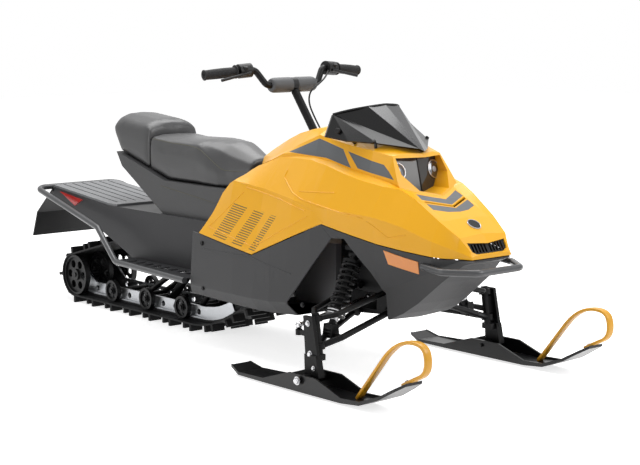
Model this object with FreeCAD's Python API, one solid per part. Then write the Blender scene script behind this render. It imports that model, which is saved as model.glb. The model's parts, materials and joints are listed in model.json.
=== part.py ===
import FreeCAD, Part
import functools
import math
import os

# Youth-size snowmobile, in millimetres. +X forward, +Y to its left, +Z up.
# The origin is the middle of its length and width, on the ground.

# Overall length: from the snow flap's rear edge to the front of the ski loops.
FLAP_REAR_X = -1279.0
LOOP_FRONT_X = 1279.0

# Track and its running gear
TRACK_WIDTH = 254.0
BELT_THICKNESS = 6.0
LUG_HEIGHT = 25.0
LUG_LENGTH = 12.0
LUG_PITCH = 64.0
REAR_WHEEL_RADIUS = 80.0
REAR_WHEEL_X = -1018.0
REAR_WHEEL_WIDTH = 22.0
RAIL_CURVE_X = -230.0
RAIL_CURVE_RADIUS = 420.0
SPROCKET_X = 205.0
SPROCKET_Z = 262.0
SPROCKET_RADIUS = 62.0
UPPER_IDLER_X = -430.0
UPPER_IDLER_Z = 296.0
UPPER_IDLER_RADIUS = 56.0
BOGIE_RADIUS = 42.0
BOGIE_WIDTH = 18.0
BOGIE_XS = (-790.0, -560.0, -330.0)
AXLE_RADIUS = 9.0
RAIL_Y = 70.0
RAIL_WIDTH = 8.0
RAIL_HEIGHT = 46.0
RAIL_HOLE_PITCH = 75.0
SLIDER_HEIGHT = 9.0
SLIDER_WIDTH = 22.0

# Tunnel, deck and seat
TUNNEL_HALF_WIDTH = 152.0
TUNNEL_TOP_Z = 420.0
TUNNEL_SIDE_Z = 236.0
TUNNEL_WALL = 4.0
TUNNEL_REAR_X = -1118.0
TUNNEL_FRONT_X = 330.0
KICK_UP_X = -729.0
DECK_REAR_RISE = 38.0
DECK_THICKNESS = 8.0
DECK_RIBS = 7
SEAT_HALF_WIDTH = 118.0
SEAT_BASE_HALF_WIDTH = 132.0
SEAT_GAP = 0.3

# Running boards and the tube round the rear
TUBE_RADIUS = 11.0
BOARD_HALF_WIDTH_REAR = 250.0
BOARD_HALF_WIDTH_FRONT = 282.0
BOARD_THICKNESS = 5.0
BOARD_FRONT_X = -54.0

# Body panels
PANEL_THICKNESS = 5.0
SEAM_GAP = 3.0
COLUMN_HOLE_RADIUS = 44.0

# Steering
COLUMN_TOP = (205.0, 894.0)
COLUMN_FOOT = (546.35, 447.54)
COLUMN_RADIUS = 14.0
BAR_RADIUS = 11.0
GRIP_RADIUS = 16.5
GRIP_LENGTH = 122.0
BAR_HALF_WIDTH = 342.0
BAR_OUTER_RUN = 192.0
BAR_RISE = 54.0
BAR_SWEEP = 18.0
BAR_END_RISE = 39.0
BAR_END_SWEEP = 48.0
CONTROL_LENGTH = 46.0
CONTROL_RADIUS = 24.0
CONTROL_GAP = 8.0
PAD_HALF_LENGTH = 96.0
PAD_RADIUS = 27.0

# Front suspension and skis
SKI_STANCE = 800.0
SKI_PIVOT_X = 772.0
SKI_PIVOT_Z = 44.0
KINGPIN_CASTER_DEG = 9.0
BALL_LOWER_Z = 137.0
BALL_UPPER_Z = 222.0
KINGPIN_INSET = 26.0
KINGPIN_RADIUS = 12.0
ARM_EYE_RADIUS = 20.0
ARM_EYE_HEIGHT = 18.0
LEG_WIDTH = 58.0
LEG_THICKNESS = 24.0
PLATE_THICKNESS = 12.0
SKI_HALF_WIDTH = 54.0
SKI_THICKNESS = 8.0
SKI_WALL = 7.0
SKI_BASE_Z = 7.0
SKI_BOLT_RADIUS = 6.0
RUNNER_RADIUS = 5.0
LOOP_STRAP_WIDTH = 26.0
LOOP_STRAP_THICKNESS = 9.0
ARM_RADIUS = 10.0
TIE_ROD_RADIUS = 7.0
SHOCK_RADIUS = 16.0
SPRING_RADIUS = 31.0
SPRING_WIRE_RADIUS = 4.5
SPRING_TURNS = 8

BELT_CLEARANCE = LUG_HEIGHT + BELT_THICKNESS
REAR_WHEEL_Z = REAR_WHEEL_RADIUS + BELT_CLEARANCE
SKI_Y = SKI_STANCE / 2.0
CASTER = math.radians(KINGPIN_CASTER_DEG)
KINGPIN_X = SKI_PIVOT_X + 12.0
KINGPIN_Y = SKI_Y - KINGPIN_INSET


def vec(x, y, z):
    return FreeCAD.Vector(x, y, z)


def box(x0, x1, y0, y1, z0, z1):
    return Part.makeBox(x1 - x0, y1 - y0, z1 - z0, vec(x0, y0, z0))


def rod(start, end, radius):
    start = FreeCAD.Vector(*start)
    end = FreeCAD.Vector(*end)
    return Part.makeCylinder(radius, (end - start).Length, start, end - start)


def ball(center, radius):
    return Part.makeSphere(radius, FreeCAD.Vector(*center))


def side_profile(points, y0, y1):
    """Extrudes an outline drawn in the XZ plane from y0 to y1."""
    corners = [vec(x, y0, z) for x, z in points]
    face = Part.Face(Part.makePolygon(corners + corners[:1]))
    return face.extrude(vec(0, y1 - y0, 0))


def plan_profile(points, z0, z1):
    """Extrudes an outline drawn in the XY plane from z0 to z1."""
    corners = [vec(x, y, z0) for x, y in points]
    face = Part.Face(Part.makePolygon(corners + corners[:1]))
    return face.extrude(vec(0, 0, z1 - z0))


def mirrored(shape):
    return shape.mirror(vec(0, 0, 0), vec(0, 1, 0))


def both_sides(shape):
    return [shape, mirrored(shape)]


def fused(shapes):
    first = shapes[0]
    if len(shapes) == 1:
        return first
    return first.fuse(shapes[1:]).removeSplitter()


def rounded_path(points, bend):
    """Straight runs through the points, joined by tangent arcs of the radius bend."""
    corners = [FreeCAD.Vector(*p) for p in points]
    edges = []
    last = corners[0]
    for before, corner, after in zip(corners, corners[1:], corners[2:]):
        back = (before - corner).normalize()
        ahead = (after - corner).normalize()
        turn = math.pi - back.getAngle(ahead)
        reach = bend * math.tan(turn / 2.0)
        arc_start = corner + back * reach
        arc_end = corner + ahead * reach
        middle_way = (back + ahead).normalize()
        to_center = bend / math.cos(turn / 2.0)
        arc_middle = corner + middle_way * (to_center - bend)
        edges.append(Part.LineSegment(last, arc_start).toShape())
        edges.append(Part.Arc(arc_start, arc_middle, arc_end).toShape())
        last = arc_end
    edges.append(Part.LineSegment(last, corners[-1]).toShape())
    return Part.Wire(edges)


def bent_tube(points, radius, bend):
    path = rounded_path(points, bend)
    start = path.Edges[0]
    ring = Part.Circle(start.valueAt(start.FirstParameter), start.tangentAt(start.FirstParameter), radius)
    return path.makePipeShell([Part.Wire([ring.toShape()])], True, False)


def belt_wire(circles, offset, y):
    """The closed line that wraps the circles (x, z, radius), grown outward by offset."""
    tangents = []
    count = len(circles)
    for index in range(count):
        x0, z0, r0 = circles[index]
        x1, z1, r1 = circles[(index + 1) % count]
        along = math.atan2(z1 - z0, x1 - x0)
        distance = math.hypot(x1 - x0, z1 - z0)
        lean = math.asin((r0 - r1) / distance)
        normal = along - math.pi / 2.0 + lean
        start = (x0 + (r0 + offset) * math.cos(normal), z0 + (r0 + offset) * math.sin(normal))
        end = (x1 + (r1 + offset) * math.cos(normal), z1 + (r1 + offset) * math.sin(normal))
        tangents.append((start, end, normal))
    edges = []
    for index in range(count):
        start, end, normal = tangents[index]
        edges.append(Part.LineSegment(vec(start[0], y, start[1]), vec(end[0], y, end[1])).toShape())
        following = tangents[(index + 1) % count]
        x, z, r = circles[(index + 1) % count]
        sweep = (following[2] - normal) % (2.0 * math.pi)
        middle = normal + sweep / 2.0
        peak = vec(x + (r + offset) * math.cos(middle), y, z + (r + offset) * math.sin(middle))
        arc = Part.Arc(vec(end[0], y, end[1]), peak, vec(following[0][0], y, following[0][1]))
        edges.append(arc.toShape())
    return Part.Wire(edges)


TRACK_CIRCLES = (
    (REAR_WHEEL_X, REAR_WHEEL_Z, REAR_WHEEL_RADIUS),
    (RAIL_CURVE_X, RAIL_CURVE_RADIUS + BELT_CLEARANCE, RAIL_CURVE_RADIUS),
    (SPROCKET_X, SPROCKET_Z, SPROCKET_RADIUS),
    (UPPER_IDLER_X, UPPER_IDLER_Z, UPPER_IDLER_RADIUS),
)


def make_track():
    """One rubber loop with a row of lugs across it at each pitch, in two staggered patterns."""
    half = TRACK_WIDTH / 2.0
    outer = Part.Face(belt_wire(TRACK_CIRCLES, BELT_THICKNESS, -half))
    inner = Part.Face(belt_wire(TRACK_CIRCLES, 0.0, -half))
    belt = outer.cut(inner).extrude(vec(0, TRACK_WIDTH, 0))
    path = belt_wire(TRACK_CIRCLES, BELT_THICKNESS, 0.0)
    rows = int(path.Length / LUG_PITCH)
    points = path.discretize(Number=rows * 8 + 1)
    lugs = []
    sunk = 2.0
    for row in range(rows):
        here = points[row * 8]
        back = (here - points[row * 8 + 1]).normalize()
        out = back.cross(vec(0, 1, 0))
        wide = half - 1.0
        spans = ((-wide, -74.0), (-38.0, 38.0), (74.0, wide))
        if row % 2:
            spans = ((-wide + 18.0, -24.0), (24.0, wide - 18.0))
        for low, high in spans:
            block = Part.makeBox(LUG_LENGTH, high - low, LUG_HEIGHT + sunk)
            block.translate(vec(-LUG_LENGTH / 2.0, low, -sunk))
            turn = FreeCAD.Rotation(back, vec(0, 1, 0), out, "XYZ")
            block.Placement = FreeCAD.Placement(here, turn).multiply(block.Placement)
            lugs.append(block)
    return fused([belt] + lugs)


def make_wheel(x, z, radius, y0, y1, hub_radius, slots, bore):
    """A tyre band round a web with slots, on a hub."""
    rim = 9.0
    web = 5.0
    middle = (y0 + y1) / 2.0
    band = rod((x, y0, z), (x, y1, z), radius).cut(rod((x, y0, z), (x, y1, z), radius - rim))
    disc = rod((x, middle - web / 2.0, z), (x, middle + web / 2.0, z), radius - rim + 1.0)
    for slot in range(slots):
        turn = 2.0 * math.pi * slot / slots
        way = (radius - rim + hub_radius) / 2.0
        size = (radius - rim - hub_radius) * 0.32
        center = (x + way * math.cos(turn), z + way * math.sin(turn))
        disc = disc.cut(rod((center[0], y0, center[1]), (center[0], y1, center[1]), size))
    hub = rod((x, y0, z), (x, y1, z), hub_radius)
    wheel = band.fuse([disc, hub])
    return wheel.cut(rod((x, y0 - 1.0, z), (x, y1 + 1.0, z), bore))


def make_rear_wheels():
    """The two large rear idlers at the track's edges, and one in its middle, on their axle."""
    edge = TRACK_WIDTH / 2.0 - 5.0
    pieces = []
    for y0, y1 in ((-edge, REAR_WHEEL_WIDTH - edge), (edge - REAR_WHEEL_WIDTH, edge)):
        pieces.append(make_wheel(REAR_WHEEL_X, REAR_WHEEL_Z, REAR_WHEEL_RADIUS - 0.5, y0, y1, 22.0, 6, 5.0))
    half = BOGIE_WIDTH / 2.0
    pieces.append(make_wheel(REAR_WHEEL_X, REAR_WHEEL_Z, REAR_WHEEL_RADIUS - 0.5, -half, half, 22.0, 6, 5.0))
    axle = rod((REAR_WHEEL_X, -edge - 4.0, REAR_WHEEL_Z), (REAR_WHEEL_X, edge + 4.0, REAR_WHEEL_Z), AXLE_RADIUS)
    return fused(pieces + [axle])


RAIL_BOTTOM_Z = BELT_CLEARANCE + SLIDER_HEIGHT + 1.0
RAIL_REAR_X = REAR_WHEEL_X + 20.0
RAIL_TIP_X = 6.0


def rail_outline(bottom, top):
    """Side outline of a rail between two heights: flat, then curved up at the front."""
    center_z = BELT_CLEARANCE + RAIL_CURVE_RADIUS
    lower = RAIL_CURVE_RADIUS - (bottom - BELT_CLEARANCE)
    upper = RAIL_CURVE_RADIUS - (top - BELT_CLEARANCE)
    reach = math.asin((RAIL_TIP_X - RAIL_CURVE_X) / RAIL_CURVE_RADIUS) * 0.82

    def on_curve(radius, angle):
        return vec(RAIL_CURVE_X + radius * math.sin(angle), 0, center_z - radius * math.cos(angle))

    rear_low = vec(RAIL_REAR_X, 0, bottom)
    rear_high = vec(RAIL_REAR_X, 0, top)
    edges = [
        Part.LineSegment(rear_low, on_curve(lower, 0)).toShape(),
        Part.Arc(on_curve(lower, 0), on_curve(lower, reach / 2.0), on_curve(lower, reach)).toShape(),
        Part.LineSegment(on_curve(lower, reach), on_curve(upper, reach)).toShape(),
        Part.Arc(on_curve(upper, reach), on_curve(upper, reach / 2.0), on_curve(upper, 0)).toShape(),
        Part.LineSegment(on_curve(upper, 0), rear_high).toShape(),
        Part.LineSegment(rear_high, rear_low).toShape(),
    ]
    return Part.Face(Part.Wire(edges))


def make_rails():
    """Two aluminium rails with lightening holes, each with an end bracket for the rear axle."""
    top = RAIL_BOTTOM_Z + RAIL_HEIGHT
    web = rail_outline(RAIL_BOTTOM_Z, top).extrude(vec(0, RAIL_WIDTH, 0))
    web.translate(vec(0, -RAIL_WIDTH / 2.0, 0))
    bracket_outline = [
        (RAIL_REAR_X + 60.0, top - 20.0),
        (RAIL_REAR_X + 60.0, top),
        (REAR_WHEEL_X + 16.0, REAR_WHEEL_Z + 18.0),
        (REAR_WHEEL_X - 20.0, REAR_WHEEL_Z + 18.0),
        (REAR_WHEEL_X - 20.0, REAR_WHEEL_Z - 22.0),
        (RAIL_REAR_X, top - 20.0),
    ]
    web = web.fuse(side_profile(bracket_outline, -RAIL_WIDTH / 2.0, RAIL_WIDTH / 2.0))
    hole_x = RAIL_REAR_X + 70.0
    hole_z = RAIL_BOTTOM_Z + RAIL_HEIGHT / 2.0
    bores = [(REAR_WHEEL_X, REAR_WHEEL_Z)] + [(x, BELT_CLEARANCE + BOGIE_RADIUS) for x in BOGIE_XS]
    while hole_x < RAIL_CURVE_X - 20.0:
        if min(abs(hole_x - x) for x in BOGIE_XS) > 30.0:
            web = web.cut(rod((hole_x, -20, hole_z), (hole_x, 20, hole_z), 11.0))
        hole_x += RAIL_HOLE_PITCH
    foot = rail_outline(RAIL_BOTTOM_Z, RAIL_BOTTOM_Z + 6.0).extrude(vec(0, SLIDER_WIDTH, 0))
    foot.translate(vec(0, -SLIDER_WIDTH / 2.0, 0))
    rail = web.fuse(foot)
    for x, z in bores:
        rail = rail.cut(rod((x, -20, z), (x, 20, z), AXLE_RADIUS + SEAT_GAP))
    rail.translate(vec(0, -RAIL_Y, 0))
    return both_sides(rail)


def make_sliders():
    slider = rail_outline(RAIL_BOTTOM_Z - SLIDER_HEIGHT, RAIL_BOTTOM_Z).extrude(vec(0, SLIDER_WIDTH, 0))
    slider.translate(vec(0, -SLIDER_WIDTH / 2.0 - RAIL_Y, 0))
    return both_sides(slider)


def make_bogies():
    """Small wheels outboard of the rails, each pair on one cross axle."""
    pieces = []
    inner = RAIL_Y + SLIDER_WIDTH / 2.0 + 2.0
    outer = inner + BOGIE_WIDTH
    z = BELT_CLEARANCE + BOGIE_RADIUS
    for x in BOGIE_XS:
        wheels = []
        for y0, y1 in ((-outer, -inner), (inner, outer)):
            wheels.append(make_wheel(x, z, BOGIE_RADIUS - 0.5, y0, y1, 14.0, 5, 4.0))
        wheels.append(rod((x, -outer - 5.0, z), (x, outer + 5.0, z), AXLE_RADIUS))
        pieces.append(fused(wheels))
    return pieces


def make_upper_idlers():
    pieces = []
    for y in (-78.0, 60.0):
        pieces.append(make_wheel(UPPER_IDLER_X, UPPER_IDLER_Z, UPPER_IDLER_RADIUS - 0.5, y, y + BOGIE_WIDTH, 16.0, 5, 4.0))
    axle = rod((UPPER_IDLER_X, -TUNNEL_HALF_WIDTH + TUNNEL_WALL, UPPER_IDLER_Z),
               (UPPER_IDLER_X, TUNNEL_HALF_WIDTH - TUNNEL_WALL, UPPER_IDLER_Z), AXLE_RADIUS)
    return [fused(pieces + [axle])]


def make_suspension_arms():
    """Front and rear swing arms between the rails and the tunnel."""
    half = TUNNEL_HALF_WIDTH - TUNNEL_WALL
    rail_inner = RAIL_Y - RAIL_WIDTH / 2.0
    arms = []
    for rail_x, tunnel_x, tunnel_z in ((-280.0, -60.0, 300.0), (-640.0, -325.0, 250.0)):
        rail_z = RAIL_BOTTOM_Z + RAIL_HEIGHT - 14.0
        cross_low = rod((rail_x, -rail_inner, rail_z), (rail_x, rail_inner, rail_z), AXLE_RADIUS)
        cross_high = rod((tunnel_x, -half, tunnel_z), (tunnel_x, half, tunnel_z), AXLE_RADIUS)
        legs = [rod((rail_x, side, rail_z), (tunnel_x, side, tunnel_z), 11.0) for side in (-46.0, 46.0)]
        arms.append(fused([cross_low, cross_high] + legs))
    return arms


def spring_coil(start, end, radius, wire, turns):
    """A coil spring as touching rings on a thin sleeve, standing for its helix."""
    start = FreeCAD.Vector(*start)
    end = FreeCAD.Vector(*end)
    way = end - start
    rings = [Part.makeCylinder(radius - wire * 1.1, way.Length, start, way)]
    for turn in range(turns):
        at = start + way * ((turn + 0.5) / turns)
        rings.append(Part.makeTorus(radius - wire, wire, at, way))
    return fused(rings)


def make_rear_shock():
    """From a cross shaft between the rails up to the rear arm's legs."""
    start = (-520.0, 0.0, 73.0)
    end = (-352.0, 0.0, 234.8)
    pieces = [rod(start, end, SHOCK_RADIUS)]
    for point, half in ((start, RAIL_Y - RAIL_WIDTH / 2.0 - SEAT_GAP), (end, 34.7)):
        pieces.append(rod((point[0], -22.0, point[2]), (point[0], 22.0, point[2]), 14.0))
        pieces.append(rod((point[0], -half, point[2]), (point[0], half, point[2]), 8.0))
    return [fused(pieces)]


def make_drive_axle():
    half = TUNNEL_HALF_WIDTH - TUNNEL_WALL
    pieces = [rod((SPROCKET_X, -half, SPROCKET_Z), (SPROCKET_X, half, SPROCKET_Z), 13.0)]
    for y in (-82.0, -14.0, 54.0):
        drum = rod((SPROCKET_X, y, SPROCKET_Z), (SPROCKET_X, y + 28.0, SPROCKET_Z), SPROCKET_RADIUS - 6.0)
        pieces.append(drum)
    return [fused(pieces)]


def make_tunnel():
    """Folded sheet channel, kicked up behind the seat, its sides cut up towards the rear."""
    outline = [
        (TUNNEL_FRONT_X, TUNNEL_SIDE_Z),
        (TUNNEL_FRONT_X, TUNNEL_TOP_Z),
        (KICK_UP_X, TUNNEL_TOP_Z),
        (TUNNEL_REAR_X, TUNNEL_TOP_Z + DECK_REAR_RISE),
        (TUNNEL_REAR_X, TUNNEL_TOP_Z + DECK_REAR_RISE - 62.0),
        (KICK_UP_X - 40.0, TUNNEL_TOP_Z - 104.0),
        (-560.0, TUNNEL_SIDE_Z),
    ]
    half = TUNNEL_HALF_WIDTH
    outside = side_profile(outline, -half, half)
    inside_outline = [
        (TUNNEL_FRONT_X + 1.0, 0.0),
        (TUNNEL_FRONT_X + 1.0, TUNNEL_TOP_Z - TUNNEL_WALL),
        (KICK_UP_X, TUNNEL_TOP_Z - TUNNEL_WALL),
        (TUNNEL_REAR_X - 1.0, TUNNEL_TOP_Z + DECK_REAR_RISE - TUNNEL_WALL),
        (TUNNEL_REAR_X - 1.0, 0.0),
    ]
    inside = side_profile(inside_outline, -half + TUNNEL_WALL, half - TUNNEL_WALL)
    return [outside.cut(inside)]


def deck_height(x):
    """Height of the tunnel's top at a place behind the kick-up."""
    share = (KICK_UP_X - x) / (KICK_UP_X - TUNNEL_REAR_X)
    return TUNNEL_TOP_Z + DECK_REAR_RISE * max(share, 0.0)


def make_deck():
    """Ribbed plate on the kick-up."""
    front = KICK_UP_X + 60.0
    rear = TUNNEL_REAR_X
    half = TUNNEL_HALF_WIDTH - 4.0
    outline = [
        (front, TUNNEL_TOP_Z),
        (KICK_UP_X, TUNNEL_TOP_Z),
        (rear, deck_height(rear)),
        (rear, deck_height(rear) + DECK_THICKNESS),
        (KICK_UP_X, TUNNEL_TOP_Z + DECK_THICKNESS),
        (front, TUNNEL_TOP_Z + DECK_THICKNESS),
    ]
    deck = side_profile(outline, -half, half)
    pitch = 2.0 * half / DECK_RIBS
    for rib in range(1, DECK_RIBS):
        y = -half + rib * pitch
        groove = [(x, z + DECK_THICKNESS - 3.0) for x, z in outline[1:3]]
        groove += [(rear, deck_height(rear) + DECK_THICKNESS + 1.0), (KICK_UP_X, TUNNEL_TOP_Z + DECK_THICKNESS + 1.0)]
        deck = deck.cut(side_profile(groove, y - 4.0, y + 4.0))
    return [deck]


FLAP_TOP_Z = 452.0


def make_snow_flap():
    half = TUNNEL_HALF_WIDTH + 4.0
    thick = 5.0
    outline = [
        (TUNNEL_REAR_X, FLAP_TOP_Z),
        (-1241.0, 346.0),
        (FLAP_REAR_X, 245.0),
        (FLAP_REAR_X + thick, 245.0),
        (-1241.0 + thick, 344.0),
        (TUNNEL_REAR_X, FLAP_TOP_Z - 2.0 * thick),
    ]
    return [side_profile(outline, -half, half)]


def make_rear_bumper():
    """One tube from the front of the left running board round the rear to the right one."""
    side = [
        (BOARD_FRONT_X, -BOARD_HALF_WIDTH_FRONT, 228.0),
        (-510.0, -BOARD_HALF_WIDTH_REAR - 14.0, 238.0),
        (-690.0, -BOARD_HALF_WIDTH_REAR + 26.0, 344.0),
        (-1180.0, -192.0, 452.0),
    ]
    points = side + [(x, -y, z) for x, y, z in reversed(side)]
    return [bent_tube(points, TUBE_RADIUS, 45.0)]


def make_running_board():
    """The right foot board: a flat tread with openings, between tunnel and edge tube."""
    inner = -TUNNEL_HALF_WIDTH
    outline = [
        (BOARD_FRONT_X, inner),
        (BOARD_FRONT_X, -BOARD_HALF_WIDTH_FRONT),
        (-505.0, -BOARD_HALF_WIDTH_REAR - 14.0),
        (-560.0, -BOARD_HALF_WIDTH_REAR + 10.0),
        (-560.0, inner),
    ]
    board = plan_profile(outline, TUNNEL_SIDE_Z - BOARD_THICKNESS, TUNNEL_SIDE_Z)
    x = -500.0
    while x < BOARD_FRONT_X - 40.0:
        board = board.cut(box(x, x + 26.0, -222.0, -178.0, 0.0, 400.0))
        x += 52.0
    toe_rest = box(BOARD_FRONT_X, 60.0, -300.0, -TUNNEL_HALF_WIDTH, TUNNEL_SIDE_Z - BOARD_THICKNESS, TUNNEL_SIDE_Z)
    toe_rest = toe_rest.common(body_form(PANEL_THICKNESS + SEAT_GAP))
    bridge = box(BOARD_FRONT_X - 1.0, BOARD_FRONT_X + 4.0, -250.0, -TUNNEL_HALF_WIDTH, TUNNEL_SIDE_Z - BOARD_THICKNESS,
                 TUNNEL_SIDE_Z)
    return fused([board, toe_rest, bridge]).cut(make_rear_bumper())


def make_tail_light():
    """A red lamp on the seat base's rear face."""
    (x0, z0), (x1, z1) = SEAT_LINE[-1], SEAT_REAR_FOOT
    start = (x0 + 0.18 * (x1 - x0), z0 + 0.18 * (z1 - z0))
    end = (x0 + 0.82 * (x1 - x0), z0 + 0.82 * (z1 - z0))
    outline = [start, end, (end[0] - 13.0, end[1] - 2.0), (start[0] - 16.0, start[1] - 8.0)]
    return [side_profile(outline, -52.0, 52.0)]


def make_tail_reflectors():
    """Red triangles on the tunnel's rear sides."""
    half = TUNNEL_HALF_WIDTH
    face = [(-1060.0, 444.0), (-900.0, 425.0), (-955.0, 398.0)]
    return both_sides(side_profile(face, -half - 5.0, -half))


# The line between the seat's base and its cushions
SEAT_LINE = ((60.0, 538.0), (-380.0, 541.0), (-690.0, 628.0))
SEAT_REAR_FOOT = (-655.0, 575.0)
CUSHION_SPLIT_X = -500.0


def seat_line_height(x):
    """Height of the base's top at a place along the seat."""
    for (x0, z0), (x1, z1) in zip(SEAT_LINE, SEAT_LINE[1:]):
        if x1 <= x <= x0:
            return z0 + (z1 - z0) * (x0 - x) / (x0 - x1)
    return SEAT_LINE[-1][1] if x < SEAT_LINE[-1][0] else SEAT_LINE[0][1]


def make_seat_base():
    """The dark tub under the cushions, standing on the tunnel."""
    outline = [(150.0, TUNNEL_TOP_Z), (150.0, 500.0)] + list(SEAT_LINE)
    outline += [SEAT_REAR_FOOT, (-394.0, TUNNEL_TOP_Z)]
    return [side_profile(outline, -SEAT_BASE_HALF_WIDTH, SEAT_BASE_HALF_WIDTH)]


def cushion_section(x, crown, edge, half, foot):
    """Half section of a cushion, from its crown over the rounded edge to its foot."""
    fall = crown - edge
    corners = [
        (0, crown),
        (half * 0.45, crown - 0.06 * fall - 1.0),
        (half * 0.78, crown - 0.4 * fall - 2.0),
        (half * 0.95, edge),
        (half, edge - 0.35 * (edge - foot)),
        (half, foot),
        (0, foot),
    ]
    return closed_section(x, corners)


# Cushion stations: x, height of the crown, height of the side edge, half width, height of the foot
FRONT_CUSHION = (
    (CUSHION_SPLIT_X, 706.0, 694.0, SEAT_HALF_WIDTH),
    (-380.0, 698.0, 686.0, SEAT_HALF_WIDTH),
    (-203.0, 703.0, 679.0, SEAT_HALF_WIDTH),
    (-150.0, 702.0, 650.0, SEAT_HALF_WIDTH),
    (-84.0, 697.0, 613.0, SEAT_HALF_WIDTH - 4.0),
    (-49.0, 683.0, 598.0, SEAT_HALF_WIDTH - 12.0),
    (40.0, 642.0, 602.0, SEAT_HALF_WIDTH - 52.0),
)
REAR_CUSHION = (
    (CUSHION_SPLIT_X - SEAT_GAP, 728.0, 708.0, SEAT_HALF_WIDTH, 0.0),
    (-510.0, 748.0, 718.0, SEAT_HALF_WIDTH, 0.0),
    (-530.0, 757.0, 723.0, SEAT_HALF_WIDTH, 0.0),
    (-690.0, 772.0, 736.0, SEAT_HALF_WIDTH, 0.0),
    (-728.0, 773.0, 734.0, SEAT_HALF_WIDTH - 2.0, 58.0),
    (-746.0, 758.0, 724.0, SEAT_HALF_WIDTH - 8.0, 84.0),
)


def make_front_cushion():
    """The long cushion: its side edges fall away towards a narrow nose."""
    sections = []
    for x, crown, edge, half in FRONT_CUSHION:
        sections.append(cushion_section(x, crown, edge, half, seat_line_height(x) + SEAT_GAP))
    return [Part.makeLoft(sections, True, True)]


def make_rear_cushion():
    """The raised bolster behind the step."""
    sections = []
    for x, crown, edge, half, lift in REAR_CUSHION:
        sections.append(cushion_section(x, crown, edge, half, seat_line_height(x) + SEAT_GAP + lift))
    return [Part.makeLoft(sections, True, True)]


# Lower body stations along X. Each is a half section from the top middle, round the outside, to
# the bottom middle, as (y, z): middle, ledge, crest, crease, seam, lower side, tuck, bottom.
BODY_STATIONS = (
    (-48.0, ((0, 520), (100, 520), (150, 530), (205, 500), (262, 398), (268, 215), (258, 184), (0, 182))),
    (150.0, ((0, 600), (120, 603), (180, 606), (219, 590), (265, 390), (276, 215), (258, 178), (0, 176))),
    (205.0, ((0, 640), (110, 640), (158, 640), (221, 586), (267, 383), (277, 215), (256, 175), (0, 173))),
    (317.0, ((0, 670), (135, 686), (152, 677), (223, 577), (268, 366), (278, 215), (250, 172), (0, 170))),
    (400.0, ((0, 682), (138, 693), (161, 681), (232, 567), (266, 400), (275, 217), (235, 172), (0, 170))),
    (491.0, ((0, 682), (138, 693), (170, 682), (245, 557), (263, 438), (264, 223), (208, 172), (0, 170))),
    (589.0, ((0, 670), (138, 680), (184, 671), (249, 548), (256, 475), (250, 225), (188, 176), (0, 174))),
    (662.0, ((0, 655), (138, 664), (186, 654), (248, 541), (243, 488), (236, 225), (170, 180), (0, 178))),
    (743.0, ((0, 640), (136, 650), (180, 636), (236, 538), (225, 470), (215, 262), (155, 188), (0, 184))),
    (827.0, ((0, 616), (112, 632), (161, 621), (216, 531), (201, 450), (183, 297), (129, 199), (0, 193))),
    (878.0, ((0, 606), (96, 608), (137, 616), (200, 521), (192, 444), (176, 312), (120, 224), (0, 220))),
    (934.0, ((0, 583), (92, 579), (128, 590), (184, 507), (183, 437), (164, 333), (111, 262), (0, 258))),
    (1032.0, ((0, 532), (94, 528), (118, 528), (152, 470), (154, 420), (146, 380), (106, 340), (0, 336))),
    (1100.0, ((0, 490), (84, 484), (100, 483), (112, 445), (108, 425), (101, 413), (82, 398), (0, 396))),
    (1139.0, ((0, 434), (60, 432), (74, 430), (84, 427), (86, 422), (84, 417), (70, 412), (0, 410))),
)
# How far each of a station's points moves inward for the inner face, as shares of the wall
SECTION_INSET = ((0, -1), (-0.6, -1), (-1, -0.6), (-1, -0.2), (-1, 0), (-1, 0.3), (-0.7, 0.8), (0, 1))
# The raised middle of the hood, which carries the headlight: roof middle, roof side, roof edge, wall foot
HEAD_STATIONS = (
    (72.0, ((0, 652), (14, 651), (28, 646), (32, 630))),
    (150.0, ((0, 690), (46, 686), (86, 664), (96, 640))),
    (264.0, ((0, 740), (70, 730), (130, 676), (148, 664))),
    (330.0, ((0, 764), (76, 754), (132, 699), (150, 690))),
    (400.0, ((0, 780), (84, 770), (131, 727), (150, 697))),
    (493.0, ((0, 788), (90, 783), (131, 760), (150, 693))),
    (541.0, ((0, 788), (92, 782), (130, 752), (150, 687))),
    (641.0, ((0, 772), (88, 766), (130, 736), (150, 670))),
    (740.0, ((0, 748), (70, 744), (122, 724), (143, 652))),
    (808.0, ((0, 722), (60, 719), (103, 710), (128, 638))),
    (960.0, ((0, 690), (60, 690), (98, 690), (118, 600))),
)
HEAD_INSET = ((0, -1), (-0.2, -1), (-0.8, -0.9), (-1, 0))
HEAD_DEPTH = 50.0
# The head's front: its top and bottom on the middle line, and its top at the side
HEAD_FRONT_TOP = (841.0, 0.0, 712.0)
HEAD_FRONT_FOOT = (925.0, 0.0, 586.0)
HEAD_FRONT_SIDE = (808.0, -101.0, 711.0)


def closed_section(x, corners):
    left = [(-y, z) for y, z in reversed(corners[1:-1])]
    loop = [vec(x, y, z) for y, z in list(corners) + left]
    return Part.makePolygon(loop + loop[:1])


def moved_in(half_points, ways, inset):
    return [(y + way_y * inset, z + way_z * inset) for (y, z), (way_y, way_z) in zip(half_points, ways)]


def lower_form(inset):
    """The body below the head, from the footwells to the nose."""
    first_x = BODY_STATIONS[0][0]
    last_x = BODY_STATIONS[-1][0]
    sections = []
    for x, half_points in BODY_STATIONS:
        place = x
        if inset and x == first_x:
            place = x - PANEL_THICKNESS
        if inset and x == last_x:
            place = x - inset
        sections.append(closed_section(place, moved_in(half_points, SECTION_INSET, inset)))
    return Part.makeLoft(sections, True, True)


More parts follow.
